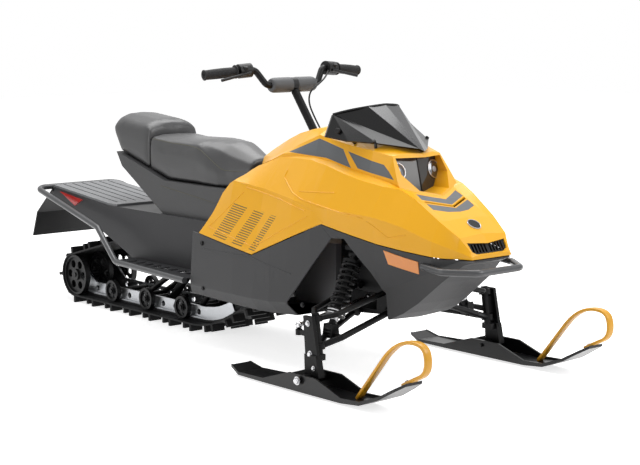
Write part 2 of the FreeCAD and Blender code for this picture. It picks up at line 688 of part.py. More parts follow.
def split_front(top, foot, side, back):
    """Two blocks that fill the space in front of a pair of mirrored planes, moved back by some distance."""
    top = FreeCAD.Vector(*top)
    down = FreeCAD.Vector(*foot) - top
    out = FreeCAD.Vector(*side) - top
    reach = 2.5
    overlap = 0.002
    loop = [
        top - down * reach - out * overlap,
        top + down * reach - out * overlap,
        top + down * reach + out * reach,
        top - down * reach + out * reach,
    ]
    loop = [p + vec(-back, 0, 0) for p in loop]
    block = Part.Face(Part.makePolygon(loop + loop[:1])).extrude(vec(400.0, 0, 0))
    return [block, mirrored(block)]


def head_form(inset):
    """The raised head, cut off by the two slanted planes of its front."""
    first_x = HEAD_STATIONS[0][0]
    sections = []
    for x, half_points in HEAD_STATIONS:
        corners = moved_in(half_points, HEAD_INSET, inset)
        foot_y, foot_z = corners[-1]
        corners += [(foot_y, foot_z - HEAD_DEPTH), (0, foot_z - HEAD_DEPTH)]
        sections.append(closed_section(x + inset if x == first_x else x, corners))
    form = Part.makeLoft(sections, True, True)
    return form.cut(split_front(HEAD_FRONT_TOP, HEAD_FRONT_FOOT, HEAD_FRONT_SIDE, inset))


@functools.lru_cache(maxsize=None)
def body_form(inset):
    """The whole body's outer form, or that form drawn in by the panels' thickness."""
    return lower_form(inset).fuse(head_form(inset))


# Seams in the side view. The yellow panels end on the lower line.
REAR_EDGE = ((4.0, 400.0), (54.0, 474.0), (88.0, 542.0), (135.0, 588.0), (169.0, 612.0), (191.0, 637.0), (60.0, 641.0),
             (60.0, 900.0))
LOWER_SEAM = ((-30.0, 405.0), (303.0, 360.0), (634.0, 493.0), (836.0, 447.0), (1060.0, 421.0), (1200.0, 418.0))
WELL_REAR_EDGE = ((476.0, 100.0), (476.0, 216.0), (673.0, 451.0))
WELL_FRONT_EDGE = ((673.0, 451.0), (721.0, 453.0), (808.0, 356.0), (854.0, 292.0), (823.0, 206.0), (800.0, 100.0))
PANEL_REAR_EDGE = ((-30.0, 405.0), (-48.0, 100.0))


# The crease that parts each side panel from the hood, in the side view
SIDE_TOP = ((-100.0, 592.0), (150.0, 588.0), (317.0, 574.0), (491.0, 553.0), (600.0, 530.0), (640.0, 498.0))
INSERT_DEPTH = 2.0
# Side windows of the head, in the side view
REAR_WINDOW = ((352.0, 697.0), (495.0, 749.0), (613.0, 722.0), (664.0, 666.0), (545.0, 690.0))
FRONT_WINDOW = ((636.0, 717.0), (786.0, 683.0), (836.0, 639.0), (691.0, 667.0))
# Chevrons on the nose, right halves seen from above
UPPER_CHEVRON = ((940.0, 0.0), (896.0, -86.0), (926.0, -90.0), (967.0, 0.0))
CHEVRON_SLOT = ((971.0, 0.0), (932.0, -88.0), (941.0, -89.0), (980.0, 0.0))
LOWER_CHEVRON = ((984.0, 0.0), (946.0, -90.0), (976.0, -90.0), (996.0, -44.0), (1003.0, 0.0))
# Grille slot in the nose, right half seen from the front
GRILLE_SLOT = ((0.0, 462.0), (-81.0, 468.0), (-76.0, 442.0), (-60.0, 434.0), (0.0, 434.0))
GRILLE_SLAT = 5.0
GRILLE_PITCH = 13.0
REFLECTOR = ((865.0, 430.0), (988.0, 405.0), (986.0, 366.0), (880.0, 387.0))
REFLECTOR_RISE = 3.0
# The lamp's glass: its front at the middle, top and bottom, and at the side
GLASS_TOP = (806.0, 0.0, 704.0)
GLASS_FOOT = (835.0, 0.0, 592.0)
GLASS_SIDE = (790.0, -100.0, 704.0)
GLASS_THICKNESS = 4.0
LAMP_REAR_X = 766.0
COLLAR_WALL = 4.0


def half_and_mirror(points):
    """A right half outline (a, b) with b = 0 on the middle line, closed by its mirror image."""
    return list(points) + [(a, -b) for a, b in reversed(points) if b != 0.0]


def front_profile(points, x0, x1):
    """Extrudes an outline (y, z) drawn in the YZ plane from x0 to x1."""
    loop = [vec(x0, y, z) for y, z in points]
    return Part.Face(Part.makePolygon(loop + loop[:1])).extrude(vec(x1 - x0, 0, 0))


def make_body_panels():
    """Cuts the hollow body form along its seams, and gives the panels, the lamp and the inserts."""
    outer = body_form(0.0)
    shell = outer.cut(body_form(PANEL_THICKNESS))
    skin = outer.cut(body_form(INSERT_DEPTH))
    wide = 400.0
    high = REAR_EDGE[-1][1]
    ahead = 1250.0
    upper_region = list(REAR_EDGE) + [(ahead, high), (ahead, LOWER_SEAM[-1][1])] + list(reversed(LOWER_SEAM[1:-1]))
    upper = shell.common(side_profile(upper_region, -wide, wide))
    lower_region = [(x, z - SEAM_GAP) for x, z in (PANEL_REAR_EDGE[:1] + LOWER_SEAM[1:3])]
    lower_region += list(reversed(WELL_REAR_EDGE)) + [PANEL_REAR_EDGE[1]]
    lower = shell.common(side_profile(lower_region, -wide, wide))
    nose_region = [(x, z - SEAM_GAP) for x, z in LOWER_SEAM[2:]] + [(1200.0, 100.0)] + list(reversed(WELL_FRONT_EDGE))
    nose = shell.common(side_profile(nose_region, -wide, wide))
    tunnel_room = TUNNEL_HALF_WIDTH + SEAT_GAP
    lower = lower.cut(box(-200.0, 300.0, -tunnel_room, tunnel_room, 0.0, 398.0))
    middle = box(-200.0, 1300.0, -BULKHEAD_HALF - 44.0, BULKHEAD_HALF + 44.0, 0.0, high)
    last_x, last_z = SIDE_TOP[-1]
    side_zone = side_profile(list(SIDE_TOP) + [(last_x, 300.0), (-100.0, 300.0)], -wide, wide).cut(middle)
    raised = [(x, z + SEAT_GAP) for x, z in SIDE_TOP] + [(last_x + SEAT_GAP, last_z), (last_x + SEAT_GAP, 300.0)]
    hood_limit = side_profile(raised + [(-100.0, 300.0)], -wide, wide).cut(middle)
    sides = upper.common(side_zone)
    hood = upper.cut(hood_limit)
    opening = headlight_prism(0.0, LAMP_REAR_X, 1000.0)
    collar = headlight_prism(-COLLAR_WALL, LAMP_REAR_X, 1000.0).common(outer)
    hood = fused([hood, collar]).cut(opening)
    x0, z0 = column_frame(60.0, 0.0)
    x1, z1 = column_frame(330.0, 0.0)
    hood = hood.cut(rod((x0, 0, z0), (x1, 0, z1), COLUMN_HOLE_RADIUS))
    inserts = []
    for window in (REAR_WINDOW, FRONT_WINDOW):
        inserts += both_sides(skin.common(side_profile(window, -168.0, -60.0)))
    for chevron in (UPPER_CHEVRON, LOWER_CHEVRON):
        inserts.append(skin.common(plan_profile(half_and_mirror(chevron), 500.0, 640.0)))
    hood = hood.cut(inserts + [plan_profile(half_and_mirror(CHEVRON_SLOT), 500.0, 640.0)])
    slot = half_and_mirror([(z, y) for y, z in GRILLE_SLOT])
    hood = hood.cut(front_profile([(y, z) for z, y in slot], 1060.0, 1200.0))
    lamp_room = headlight_prism(SEAT_GAP, LAMP_REAR_X, 1000.0)
    behind = lamp_room.cut(split_front(GLASS_TOP, GLASS_FOOT, GLASS_SIDE, 0.0))
    housing = behind.cut(split_front(GLASS_TOP, GLASS_FOOT, GLASS_SIDE, GLASS_THICKNESS))
    lens = behind.cut(housing)
    return hood, sides, lower, nose.cut(make_front_bumper()), lens, housing, inserts


def make_grille():
    """A slatted plate behind the slot in the nose."""
    plate = body_form(PANEL_THICKNESS + SEAT_GAP).cut(body_form(PANEL_THICKNESS + SEAT_GAP + 4.0))
    outline = [(-88.0, 472.0), (88.0, 472.0), (84.0, 428.0), (-84.0, 428.0)]
    plate = plate.common(front_profile(outline, 1070.0, 1145.0))
    gaps = []
    y = GRILLE_PITCH / 2.0
    while y < 70.0:
        gaps.append(box(1060.0, 1150.0, y, y + GRILLE_PITCH - GRILLE_SLAT, 437.0, 462.0))
        y += GRILLE_PITCH
    return [plate.cut(gaps + [mirrored(gap) for gap in gaps])]


def make_side_reflectors():
    """Amber plates on the nose panel's sides."""
    plate = body_form(-REFLECTOR_RISE).common(side_profile(REFLECTOR, -240.0, -100.0)).cut(body_form(0.0))
    return both_sides(plate)


def left_and_right(shape):
    right = [s for s in shape.Solids if s.CenterOfMass.y < 0]
    left = [s for s in shape.Solids if s.CenterOfMass.y > 0]
    return left, right


def polyhedron(points, faces):
    """A closed solid from corner points and faces that list them by number."""
    corners = [FreeCAD.Vector(*p) for p in points]
    made = []
    for face in faces:
        loop = [corners[i] for i in face]
        made.append(Part.Face(Part.makePolygon(loop + loop[:1])))
    solid = Part.Solid(Part.Shell(made))
    if solid.Volume < 0:
        solid.reverse()
    return solid


SHIELD_POINTS = (
    (845.0, 0.0, 722.0),
    (840.0, -17.0, 731.0),
    (655.0, -66.0, 856.0),
    (662.0, 0.0, 862.0),
    (568.0, -141.0, 831.0),
    (560.0, -166.0, 762.0),
    (660.0, -158.0, 752.0),
    (748.0, -112.0, 748.0),
)


# Rubber grommets that hold the screen off the hood
GROMMETS = (((736.0, -110.0, 750.0), (728.0, -98.0, 705.0)), ((650.0, -152.0, 764.0), (650.0, -112.0, 738.0)))
GROMMET_RADIUS = 5.0


def make_windshield(body):
    """A faceted screen: a narrow front pane, two large side panes and their dropped skirts."""
    thick = 4.0
    outside = list(SHIELD_POINTS)
    inside = [(x - 3.0 * thick, y * 0.97, z - thick) for x, y, z in outside]
    points = outside + inside
    count = len(outside)
    faces_out = [(0, 1, 2), (0, 2, 3), (1, 4, 2), (1, 7, 4), (7, 6, 4), (6, 5, 4)]
    edge = [0, 1, 7, 6, 5, 4, 2, 3]
    faces = list(faces_out)
    faces += [tuple(i + count for i in reversed(face)) for face in faces_out]
    for a, b in zip(edge, edge[1:] + edge[:1]):
        faces.append((b, a, a + count))
        faces.append((b, a + count, b + count))
    half = polyhedron(points, faces)
    grommets = [rod(start, end, GROMMET_RADIUS) for start, end in GROMMETS]
    return [fused([half, mirrored(half)] + grommets + [mirrored(grommet) for grommet in grommets]).cut(body)]


def headlight_prism(gap, x0, x1):
    """The headlight opening's outline, drawn in by a gap, along X."""
    corners = [(0.0, 704.0 - gap), (97.0 - gap, 704.0 - gap), (100.0 - gap, 655.0), (64.0 - gap * 0.7, 606.0 + gap * 0.7),
               (0.0, 592.0 + gap)]
    right = [(-y, z) for y, z in reversed(corners[1:-1])]
    loop = [vec(x0, y, z) for y, z in corners + right]
    return Part.Face(Part.makePolygon(loop + loop[:1])).extrude(vec(x1 - x0, 0, 0))


def make_front_bumper():
    y = 158.0
    z = 384.0
    points = [(1000.0, -y, z + 8.0), (1080.0, -y, z), (1172.0, -BUMPER_STRAIGHT, z)]
    points += [(x, -y, z) for x, y, z in reversed(points)]
    return [bent_tube(points, TUBE_RADIUS, 30.0)]


BUMPER_STRAIGHT = 92.0
BULKHEAD_X0 = 560.0
BULKHEAD_X1 = 836.0
BULKHEAD_HALF = 96.0
CRADLE_X0 = 304.0
CRADLE_HALF = TUNNEL_HALF_WIDTH - TUNNEL_WALL - SEAT_GAP


# Ears on top of the bulkhead that carry the hood from inside
HOOD_EAR_X0 = 694.0
HOOD_EAR_X1 = 730.0
HOOD_EAR_Z = 492.0
HOOD_EAR_THICKNESS = 6.0


def make_bulkhead():
    """The welded box that carries the front suspension, the shock towers and the column's foot."""
    outline = [(BULKHEAD_X0, 186.0), (780.0, 204.0), (BULKHEAD_X1, 230.0), (BULKHEAD_X1, 306.0), (740.0, 440.0),
               (BULKHEAD_X0, 440.0)]
    frame = side_profile(outline, -BULKHEAD_HALF, BULKHEAD_HALF)
    hollow = side_profile([(BULKHEAD_X0 - 1, 196.0), (776.0, 214.0), (BULKHEAD_X1 - 10, 240.0), (BULKHEAD_X1 - 10, 300.0), (734.0, 430.0),
                           (BULKHEAD_X0 - 1, 430.0)], -BULKHEAD_HALF + 8.0, BULKHEAD_HALF - 8.0)
    tie_window = side_profile([(600.0, 212.0), (730.0, 212.0), (730.0, 268.0), (600.0, 268.0)], -200.0, 200.0)
    tower_low = SHOCK_TOP[2] + 13.0 + SEAT_GAP
    tower = box(690.0, 760.0, -196.0, -BULKHEAD_HALF + 4.0, tower_low, tower_low + 14.0)
    foot_start = column_frame(COLUMN_LENGTH - 44.0, 0.0)
    foot_end = column_frame(COLUMN_LENGTH, 0.0)
    socket = rod((foot_start[0], 0, foot_start[1]), (foot_end[0], 0, foot_end[1]), COLUMN_RADIUS + 9.0)
    gusset = side_profile([(foot_start[0] + 6.0, 480.0), (640.0, 436.0), (BULKHEAD_X0, 436.0), (foot_end[0], 444.0)],
                          -8.0, 8.0)
    cradle = box(CRADLE_X0, BULKHEAD_X0 + 2.0, -CRADLE_HALF, CRADLE_HALF, 186.0, 196.0)
    flange = box(CRADLE_X0, CRADLE_X0 + 40.0, -CRADLE_HALF, 5.0 - CRADLE_HALF, 186.0, 400.0)
    post = box(HOOD_EAR_X0, HOOD_EAR_X1, -70.0, -62.0, 430.0, HOOD_EAR_Z + HOOD_EAR_THICKNESS)
    ear = box(HOOD_EAR_X0, HOOD_EAR_X1, -300.0, -62.0, HOOD_EAR_Z, HOOD_EAR_Z + HOOD_EAR_THICKNESS)
    ear = fused([post, ear.common(body_form(PANEL_THICKNESS + SEAT_GAP))])
    body = frame.cut(hollow).cut(tie_window)
    frame = fused([body, tower, mirrored(tower), socket, gusset, cradle, flange, mirrored(flange), ear, mirrored(ear)])
    start = column_frame(0.0, 0.0)
    return [frame.cut(rod((start[0], 0, start[1]), (foot_end[0], 0, foot_end[1]), COLUMN_RADIUS + SEAT_GAP))]


def make_engine():
    return [box(352.0, BULKHEAD_X0 - 6.0, -115.0, 115.0, 196.0 + SEAT_GAP, 408.0)]


def kingpin_point(z, side):
    """A point on the kingpin axis: it leans back by the caster."""
    return (KINGPIN_X - (z - SKI_PIVOT_Z) * math.tan(CASTER), side * KINGPIN_Y, z)


def on_side(shape, side):
    return mirrored(shape) if side > 0 else shape


INNER_PIVOT_Y = -(BULKHEAD_HALF + 13.0 + SEAT_GAP)
LOWER_INNER_FRONT = (812.0, INNER_PIVOT_Y, 222.0)
LOWER_INNER_REAR = (640.0, INNER_PIVOT_Y, 197.0)
UPPER_INNER_FRONT = (806.0, INNER_PIVOT_Y, 288.0)
UPPER_INNER_REAR = (654.0, INNER_PIVOT_Y, 288.0)
SHOCK_TOP = (722.0, -182.0, 400.0)
SHOCK_FOOT = (742.0, -300.0, 184.0)


def make_arm(z, tube_radius, pivot_radius, inner_points, knee_points):
    """An A-arm: two tubes from the bulkhead by their knees to an eye round the kingpin."""
    eye_low = kingpin_point(z - ARM_EYE_HEIGHT / 2.0, -1)
    eye_high = kingpin_point(z + ARM_EYE_HEIGHT / 2.0, -1)
    center = kingpin_point(z, -1)
    pieces = [rod(eye_low, eye_high, ARM_EYE_RADIUS)]
    for inner, knee in zip(inner_points, knee_points):
        pieces.append(rod(inner, knee, tube_radius))
        pieces.append(ball(knee, tube_radius))
        pieces.append(rod(knee, center, tube_radius))
        pieces.append(rod((inner[0] - 16.0, inner[1], inner[2]), (inner[0] + 16.0, inner[1], inner[2]), pivot_radius))
    arm = fused(pieces)
    pin_low = kingpin_point(z - 60.0, -1)
    pin_high = kingpin_point(z + 60.0, -1)
    return arm.cut(rod(pin_low, pin_high, KINGPIN_RADIUS + SEAT_GAP))


def make_lower_arm():
    """The lower arm carries the shock's foot between two ears."""
    knees = ((794.0, -300.0, 160.0), (716.0, -300.0, 156.0))
    arm = make_arm(BALL_LOWER_Z, ARM_RADIUS, 13.0, (LOWER_INNER_FRONT, LOWER_INNER_REAR), knees)
    cross = rod(knees[0], knees[1], 9.0)
    ears = []
    for x in (SHOCK_FOOT[0] - 16.0 - 5.0 - SEAT_GAP, SHOCK_FOOT[0] + 16.0 + SEAT_GAP):
        outline = [(-318.0, 150.0), (-282.0, 150.0), (-288.0, 196.0), (-312.0, 196.0)]
        loop = [vec(x, y, z) for y, z in outline]
        ears.append(Part.Face(Part.makePolygon(loop + loop[:1])).extrude(vec(5.0, 0, 0)))
    arm = fused([arm, cross] + ears)
    room = rod((SHOCK_FOOT[0] - 16.2, SHOCK_FOOT[1], SHOCK_FOOT[2]), (SHOCK_FOOT[0] + 16.2, SHOCK_FOOT[1], SHOCK_FOOT[2]), 13.3)
    return arm.cut(room)


def make_upper_arm():
    knees = ((796.0, -322.0, 236.0), (688.0, -322.0, 236.0))
    return make_arm(BALL_UPPER_Z, ARM_RADIUS - 1.0, 12.0, (UPPER_INNER_FRONT, UPPER_INNER_REAR), knees)


def shock_point(share):
    return tuple(a + (b - a) * share for a, b in zip(SHOCK_TOP, SHOCK_FOOT))


def make_shock():
    body = rod(SHOCK_TOP, SHOCK_FOOT, SHOCK_RADIUS - 4.0)
    eyes = [rod((p[0] - 16.0, p[1], p[2]), (p[0] + 16.0, p[1], p[2]), 13.0) for p in (SHOCK_TOP, SHOCK_FOOT)]
    collar = rod(shock_point(0.78), shock_point(0.84), SPRING_RADIUS)
    cap = rod(shock_point(0.1), shock_point(0.14), SPRING_RADIUS)
    return fused([body, collar, cap] + eyes)


def make_spring():
    coil = spring_coil(shock_point(0.142), shock_point(0.778), SPRING_RADIUS, SPRING_WIRE_RADIUS, SPRING_TURNS)
    return coil.cut(rod(SHOCK_TOP, SHOCK_FOOT, SHOCK_RADIUS - 3.9))


TIE_BALL_RADIUS = 12.0
TIE_BOSS_TOP = 176.0
TIE_BALL = (KINGPIN_X - 118.0, -KINGPIN_Y + 8.0, TIE_BOSS_TOP + TIE_BALL_RADIUS + SEAT_GAP)
TIE_INNER = (648.0, -58.0, 240.0)


def make_spindle():
    """Kingpin tube, a plate outboard of the arm eyes, the leg down to the ski bolt and the steering arm."""
    top = kingpin_point(BALL_UPPER_Z + 18.0, -1)
    low = kingpin_point(BALL_LOWER_Z - 22.0, -1)
    tube = rod(low, top, KINGPIN_RADIUS)
    plate_y = -KINGPIN_Y - ARM_EYE_RADIUS - 1.0
    lean = math.tan(CASTER)

    def axis_x(z):
        return KINGPIN_X - (z - SKI_PIVOT_Z) * lean

    plate_high = BALL_UPPER_Z + 12.0
    plate_low = BALL_LOWER_Z - 30.0
    plate_outline = [
        (axis_x(plate_high) - 20.0, plate_high),
        (axis_x(plate_high) + 22.0, plate_high),
        (axis_x(plate_low) + LEG_WIDTH / 2.0, plate_low),
        (axis_x(plate_low) - LEG_WIDTH / 2.0, plate_low),
    ]
    plate = side_profile(plate_outline, plate_y - PLATE_THICKNESS, plate_y)
    leg_high = BALL_LOWER_Z - 20.0
    leg_outline = [
        (axis_x(leg_high) - LEG_WIDTH / 2.0 + 2.0, leg_high),
        (axis_x(leg_high) + LEG_WIDTH / 2.0 - 2.0, leg_high),
        (SKI_PIVOT_X + 42.0, SKI_PIVOT_Z + 6.0),
        (SKI_PIVOT_X + 18.0, SKI_PIVOT_Z - 15.0),
        (SKI_PIVOT_X - 18.0, SKI_PIVOT_Z - 15.0),
        (SKI_PIVOT_X - 24.0, SKI_PIVOT_Z + 6.0),
    ]
    leg = side_profile(leg_outline, -SKI_Y - LEG_THICKNESS / 2.0, -SKI_Y + LEG_THICKNESS / 2.0)
    web_high = BALL_UPPER_Z - ARM_EYE_HEIGHT / 2.0 - 6.0
    web_low = BALL_LOWER_Z + ARM_EYE_HEIGHT / 2.0 + 6.0
    web = side_profile([(axis_x(web_high) - 10.0, web_high), (axis_x(web_high) + 10.0, web_high),
                        (axis_x(web_low) + 10.0, web_low), (axis_x(web_low) - 10.0, web_low)], plate_y, -KINGPIN_Y)
    foot_web = box(axis_x(112.0) - 20.0, axis_x(112.0) + 20.0, -SKI_Y, -KINGPIN_Y + 8.0, 98.0, BALL_LOWER_Z - 20.0)
    root = kingpin_point(TIE_BOSS_TOP - 8.0, -1)
    boss_low = (TIE_BALL[0], TIE_BALL[1], TIE_BOSS_TOP - 18.0)
    boss_high = (TIE_BALL[0], TIE_BALL[1], TIE_BOSS_TOP)
    arm = side_profile([(root[0], root[2] + 8.0), (root[0], root[2] - 10.0), (TIE_BALL[0], root[2] - 8.0),
                        (TIE_BALL[0], root[2] + 6.0)], -KINGPIN_Y + 2.0, -KINGPIN_Y + 14.0)
    boss = rod(boss_low, boss_high, 11.0)
    sleeve_half = SKI_HALF_WIDTH - SKI_WALL - 1.0
    sleeve = rod((SKI_PIVOT_X, -SKI_Y - sleeve_half, SKI_PIVOT_Z), (SKI_PIVOT_X, -SKI_Y + sleeve_half, SKI_PIVOT_Z), 14.0)
    bore = rod((SKI_PIVOT_X, -SKI_Y - 60.0, SKI_PIVOT_Z), (SKI_PIVOT_X, -SKI_Y + 60.0, SKI_PIVOT_Z), SKI_BOLT_RADIUS + 0.1)
    return fused([tube, plate, leg, web, foot_web, arm, boss, sleeve]).cut(bore)


def make_tie_rod():
    return fused([rod(TIE_BALL, TIE_INNER, TIE_ROD_RADIUS), ball(TIE_BALL, TIE_BALL_RADIUS), ball(TIE_INNER, 11.0)])


# Ski sections along X: place, bottom of the base, half width, height of the side walls
SKI_STATIONS = (
    (414.0, 24.0, 40.0, 9.0),
    (462.0, SKI_BASE_Z, 50.0, 10.0),
    (594.0, SKI_BASE_Z, SKI_HALF_WIDTH, 14.0),
    (720.0, SKI_BASE_Z, SKI_HALF_WIDTH, 54.0),
    (846.0, SKI_BASE_Z, SKI_HALF_WIDTH, 54.0),
    (960.0, SKI_BASE_Z, SKI_HALF_WIDTH, 16.0),
    (1040.0, 14.0, 53.0, 12.0),
    (1120.0, 44.0, 50.0, 11.0),
    (1180.0, 78.0, 44.0, 10.0),
    (1219.0, 100.0, 32.0, 9.0),
)


def ski_section(x, z, half, height, inset):
    low = z + (SKI_THICKNESS if inset else 0.0)
    top = z + height + (1.0 if inset else 0.0)
    reach = half - (SKI_WALL if inset else 0.0)
    corners = [vec(x, -reach, low), vec(x, reach, low), vec(x, reach, top), vec(x, -reach, top)]
    return Part.makePolygon(corners + corners[:1])


def make_ski():
    """A moulded channel: a base that turns up at both ends, between two raised walls."""
    outside = Part.makeLoft([ski_section(x, z, half, height, False) for x, z, half, height in SKI_STATIONS], True, True)
    inner_stations = []
    for x, z, half, height in SKI_STATIONS[:-1]:
        inner_stations.append((x - (1.0 if x == SKI_STATIONS[0][0] else 0.0), z, half, max(height, SKI_THICKNESS + 1.0)))
    hollow = Part.makeLoft([ski_section(x, z, half, height, True) for x, z, half, height in inner_stations], True, True)
    ski = outside.cut(hollow)
    keel = side_profile([(470.0, 2.0), (1000.0, 2.0), (1050.0, 18.0), (1050.0, 24.0), (960.0, 11.0), (470.0, 11.0)], -12.0, 12.0)
    bolt = rod((SKI_PIVOT_X, -SKI_HALF_WIDTH - 8.0, SKI_PIVOT_Z), (SKI_PIVOT_X, SKI_HALF_WIDTH + 8.0, SKI_PIVOT_Z),
               SKI_BOLT_RADIUS)
    ski = fused([ski, keel, bolt])
    ski.translate(vec(0, -SKI_Y, 0))
    return ski


def make_runner():
    run = rod((560.0, -SKI_Y, RUNNER_RADIUS), (985.0, -SKI_Y, RUNNER_RADIUS), RUNNER_RADIUS)
    keel = side_profile([(470.0, 2.0), (1000.0, 2.0), (1050.0, 18.0), (1050.0, 24.0), (960.0, 11.0), (470.0, 11.0)],
                        -12.0 - SKI_Y, 12.0 - SKI_Y)
    return run.cut(keel)


def strap_section_wire(point, normal, across):
    half_w = LOOP_STRAP_WIDTH / 2.0
    half_t = LOOP_STRAP_THICKNESS / 2.0
    corners = [point + across * a + normal * b for a, b in
               ((-half_w, -half_t), (half_w, -half_t), (half_w, half_t), (-half_w, half_t))]
    return Part.makePolygon(corners + corners[:1])


def make_ski_loop():
    """A flat strap that rises from the ski, bends over and comes back to the ski's tip."""
    half_t = LOOP_STRAP_THICKNESS / 2.0
    points = [
        (985.0, -SKI_Y, 20.9),
        (1140.0, -SKI_Y, 190.0),
        (1196.0, -SKI_Y, 222.0),
        (LOOP_FRONT_X - half_t, -SKI_Y, 196.0),
        (LOOP_FRONT_X - half_t, -SKI_Y, 144.6),
        (1180.0, -SKI_Y, 93.8),
    ]
    path = rounded_path(points, 26.0)
    first = path.Edges[0]
    ahead = first.tangentAt(first.FirstParameter)
    across = vec(0, 1, 0)
    section = strap_section_wire(first.valueAt(first.FirstParameter), ahead.cross(across), across)
    return path.makePipeShell([section], True, False)


COLUMN_RUN = COLUMN_FOOT[0] - COLUMN_TOP[0]
COLUMN_DROP = COLUMN_TOP[1] - COLUMN_FOOT[1]
COLUMN_LENGTH = math.hypot(COLUMN_RUN, COLUMN_DROP)


def column_frame(along, up):
    """A point near the steering column: along it from its top, and square to it upwards."""
    rake = math.atan2(COLUMN_RUN, COLUMN_DROP)
    x0, z0 = COLUMN_TOP
    x = x0 + along * math.sin(rake) + up * math.cos(rake)
    z = z0 - along * math.cos(rake) + up * math.sin(rake)
    return x, z


def make_column():
    """The raked post, with a clamp block round the handlebar."""
    x0, z0 = column_frame(10.0, 0.0)
    x1, z1 = column_frame(COLUMN_LENGTH, 0.0)
    post = rod((x0, 0, z0), (x1, 0, z1), COLUMN_RADIUS)
    bar_x, bar_z = BAR_CENTER
    clamp = box(bar_x - 18.0, bar_x + 18.0, -24.0, 24.0, bar_z - 22.0, bar_z + 16.0)
    return [fused([post, clamp]).cut(make_handlebar())]


BAR_CENTER = (COLUMN_TOP[0] - 9.0, COLUMN_TOP[1] + 14.0)
BAR_CLAMP_REST = 16.0
CABLE_ROUTE = (
    (220.0, 134.0, 936.0),
    (237.0, 94.0, 915.0),
    (238.0, 48.0, 890.0),
    (236.0, 38.0, 858.0),
    (252.0, 38.0, 817.0),
    (316.0, 30.0, 752.0),
)
CABLE_RADIUS = 3.0
CABLE_BEND = 12.0


def make_handlebar():
    """A bar that rises from its clamp to the controls and runs out level to the grips."""
    x, z = BAR_CENTER
    side = [
        (x - BAR_END_SWEEP, -BAR_HALF_WIDTH, z + BAR_END_RISE),
        (x - BAR_SWEEP, BAR_OUTER_RUN - BAR_HALF_WIDTH, z + BAR_RISE),
        (x, -PAD_HALF_LENGTH - BAR_CLAMP_REST, z),
    ]
    points = side + [(px, -py, pz) for px, py, pz in reversed(side)]
    return [bent_tube(points, BAR_RADIUS, 26.0)]


def make_pad():
    x, z = BAR_CENTER
    pad = rod((x, -PAD_HALF_LENGTH, z), (x, PAD_HALF_LENGTH, z), PAD_RADIUS)
    return pad.cut(make_handlebar() + make_column())


def bar_point(from_end):
    """A point on the right half of the bar's outer run, at a distance in Y from its end."""
    x, z = BAR_CENTER
    share = 1.0 - from_end / BAR_OUTER_RUN
    sweep = BAR_SWEEP + (BAR_END_SWEEP - BAR_SWEEP) * share
    rise = BAR_RISE + (BAR_END_RISE - BAR_RISE) * share
    return (x - sweep, from_end - BAR_HALF_WIDTH, z + rise)


def make_grip():
    """A rubber sleeve with an end cap and an inner flange."""
    inner = bar_point(GRIP_LENGTH)
    flange = bar_point(GRIP_LENGTH - 5.0)
    end = bar_point(-5.0)
    grip = fused([rod(end, inner, GRIP_RADIUS), rod(flange, inner, GRIP_RADIUS + 6.0)])
    return grip.cut(make_handlebar())


def make_control():
    """The clamp block inboard of the grip, with its lever in front of the grip."""
    near = GRIP_LENGTH + CONTROL_GAP
    outer = bar_point(near)
    inner = bar_point(near + CONTROL_LENGTH)
    block = rod(inner, outer, CONTROL_RADIUS)
    root = bar_point(near + CONTROL_LENGTH - 14.0)
    tip = bar_point(42.0)
    lever = rod((root[0] + 24.0, root[1], root[2] - 6.0), (tip[0] + 38.0, tip[1], tip[2] - 20.0), 5.0)
    return fused([block, lever]).cut(make_handlebar())


def make_control_cable():
    """A thin cable from the left control block down into the column's hole in the hood."""
    inner = bar_point(GRIP_LENGTH + CONTROL_GAP + CONTROL_LENGTH)
    start = (inner[0] + 18.0, -inner[1] - 0.5, inner[2] - 8.0)
    points = [start] + list(CABLE_ROUTE)
    return [bent_tube(points, CABLE_RADIUS, CABLE_BEND)]


def save(name, shapes):
    if isinstance(shapes, Part.Shape):
        shapes = [shapes]
    shape = shapes[0] if len(shapes) == 1 else Part.makeCompound(shapes)
    shape.exportStep("parts/" + name + ".step")
    valid = shape.isValid()
    size = shape.BoundBox
    print(name, len(shape.Solids), "valid" if valid else "INVALID", round(size.XMin), round(size.XMax),
          round(size.YMin), round(size.YMax), round(size.ZMin), round(size.ZMax))


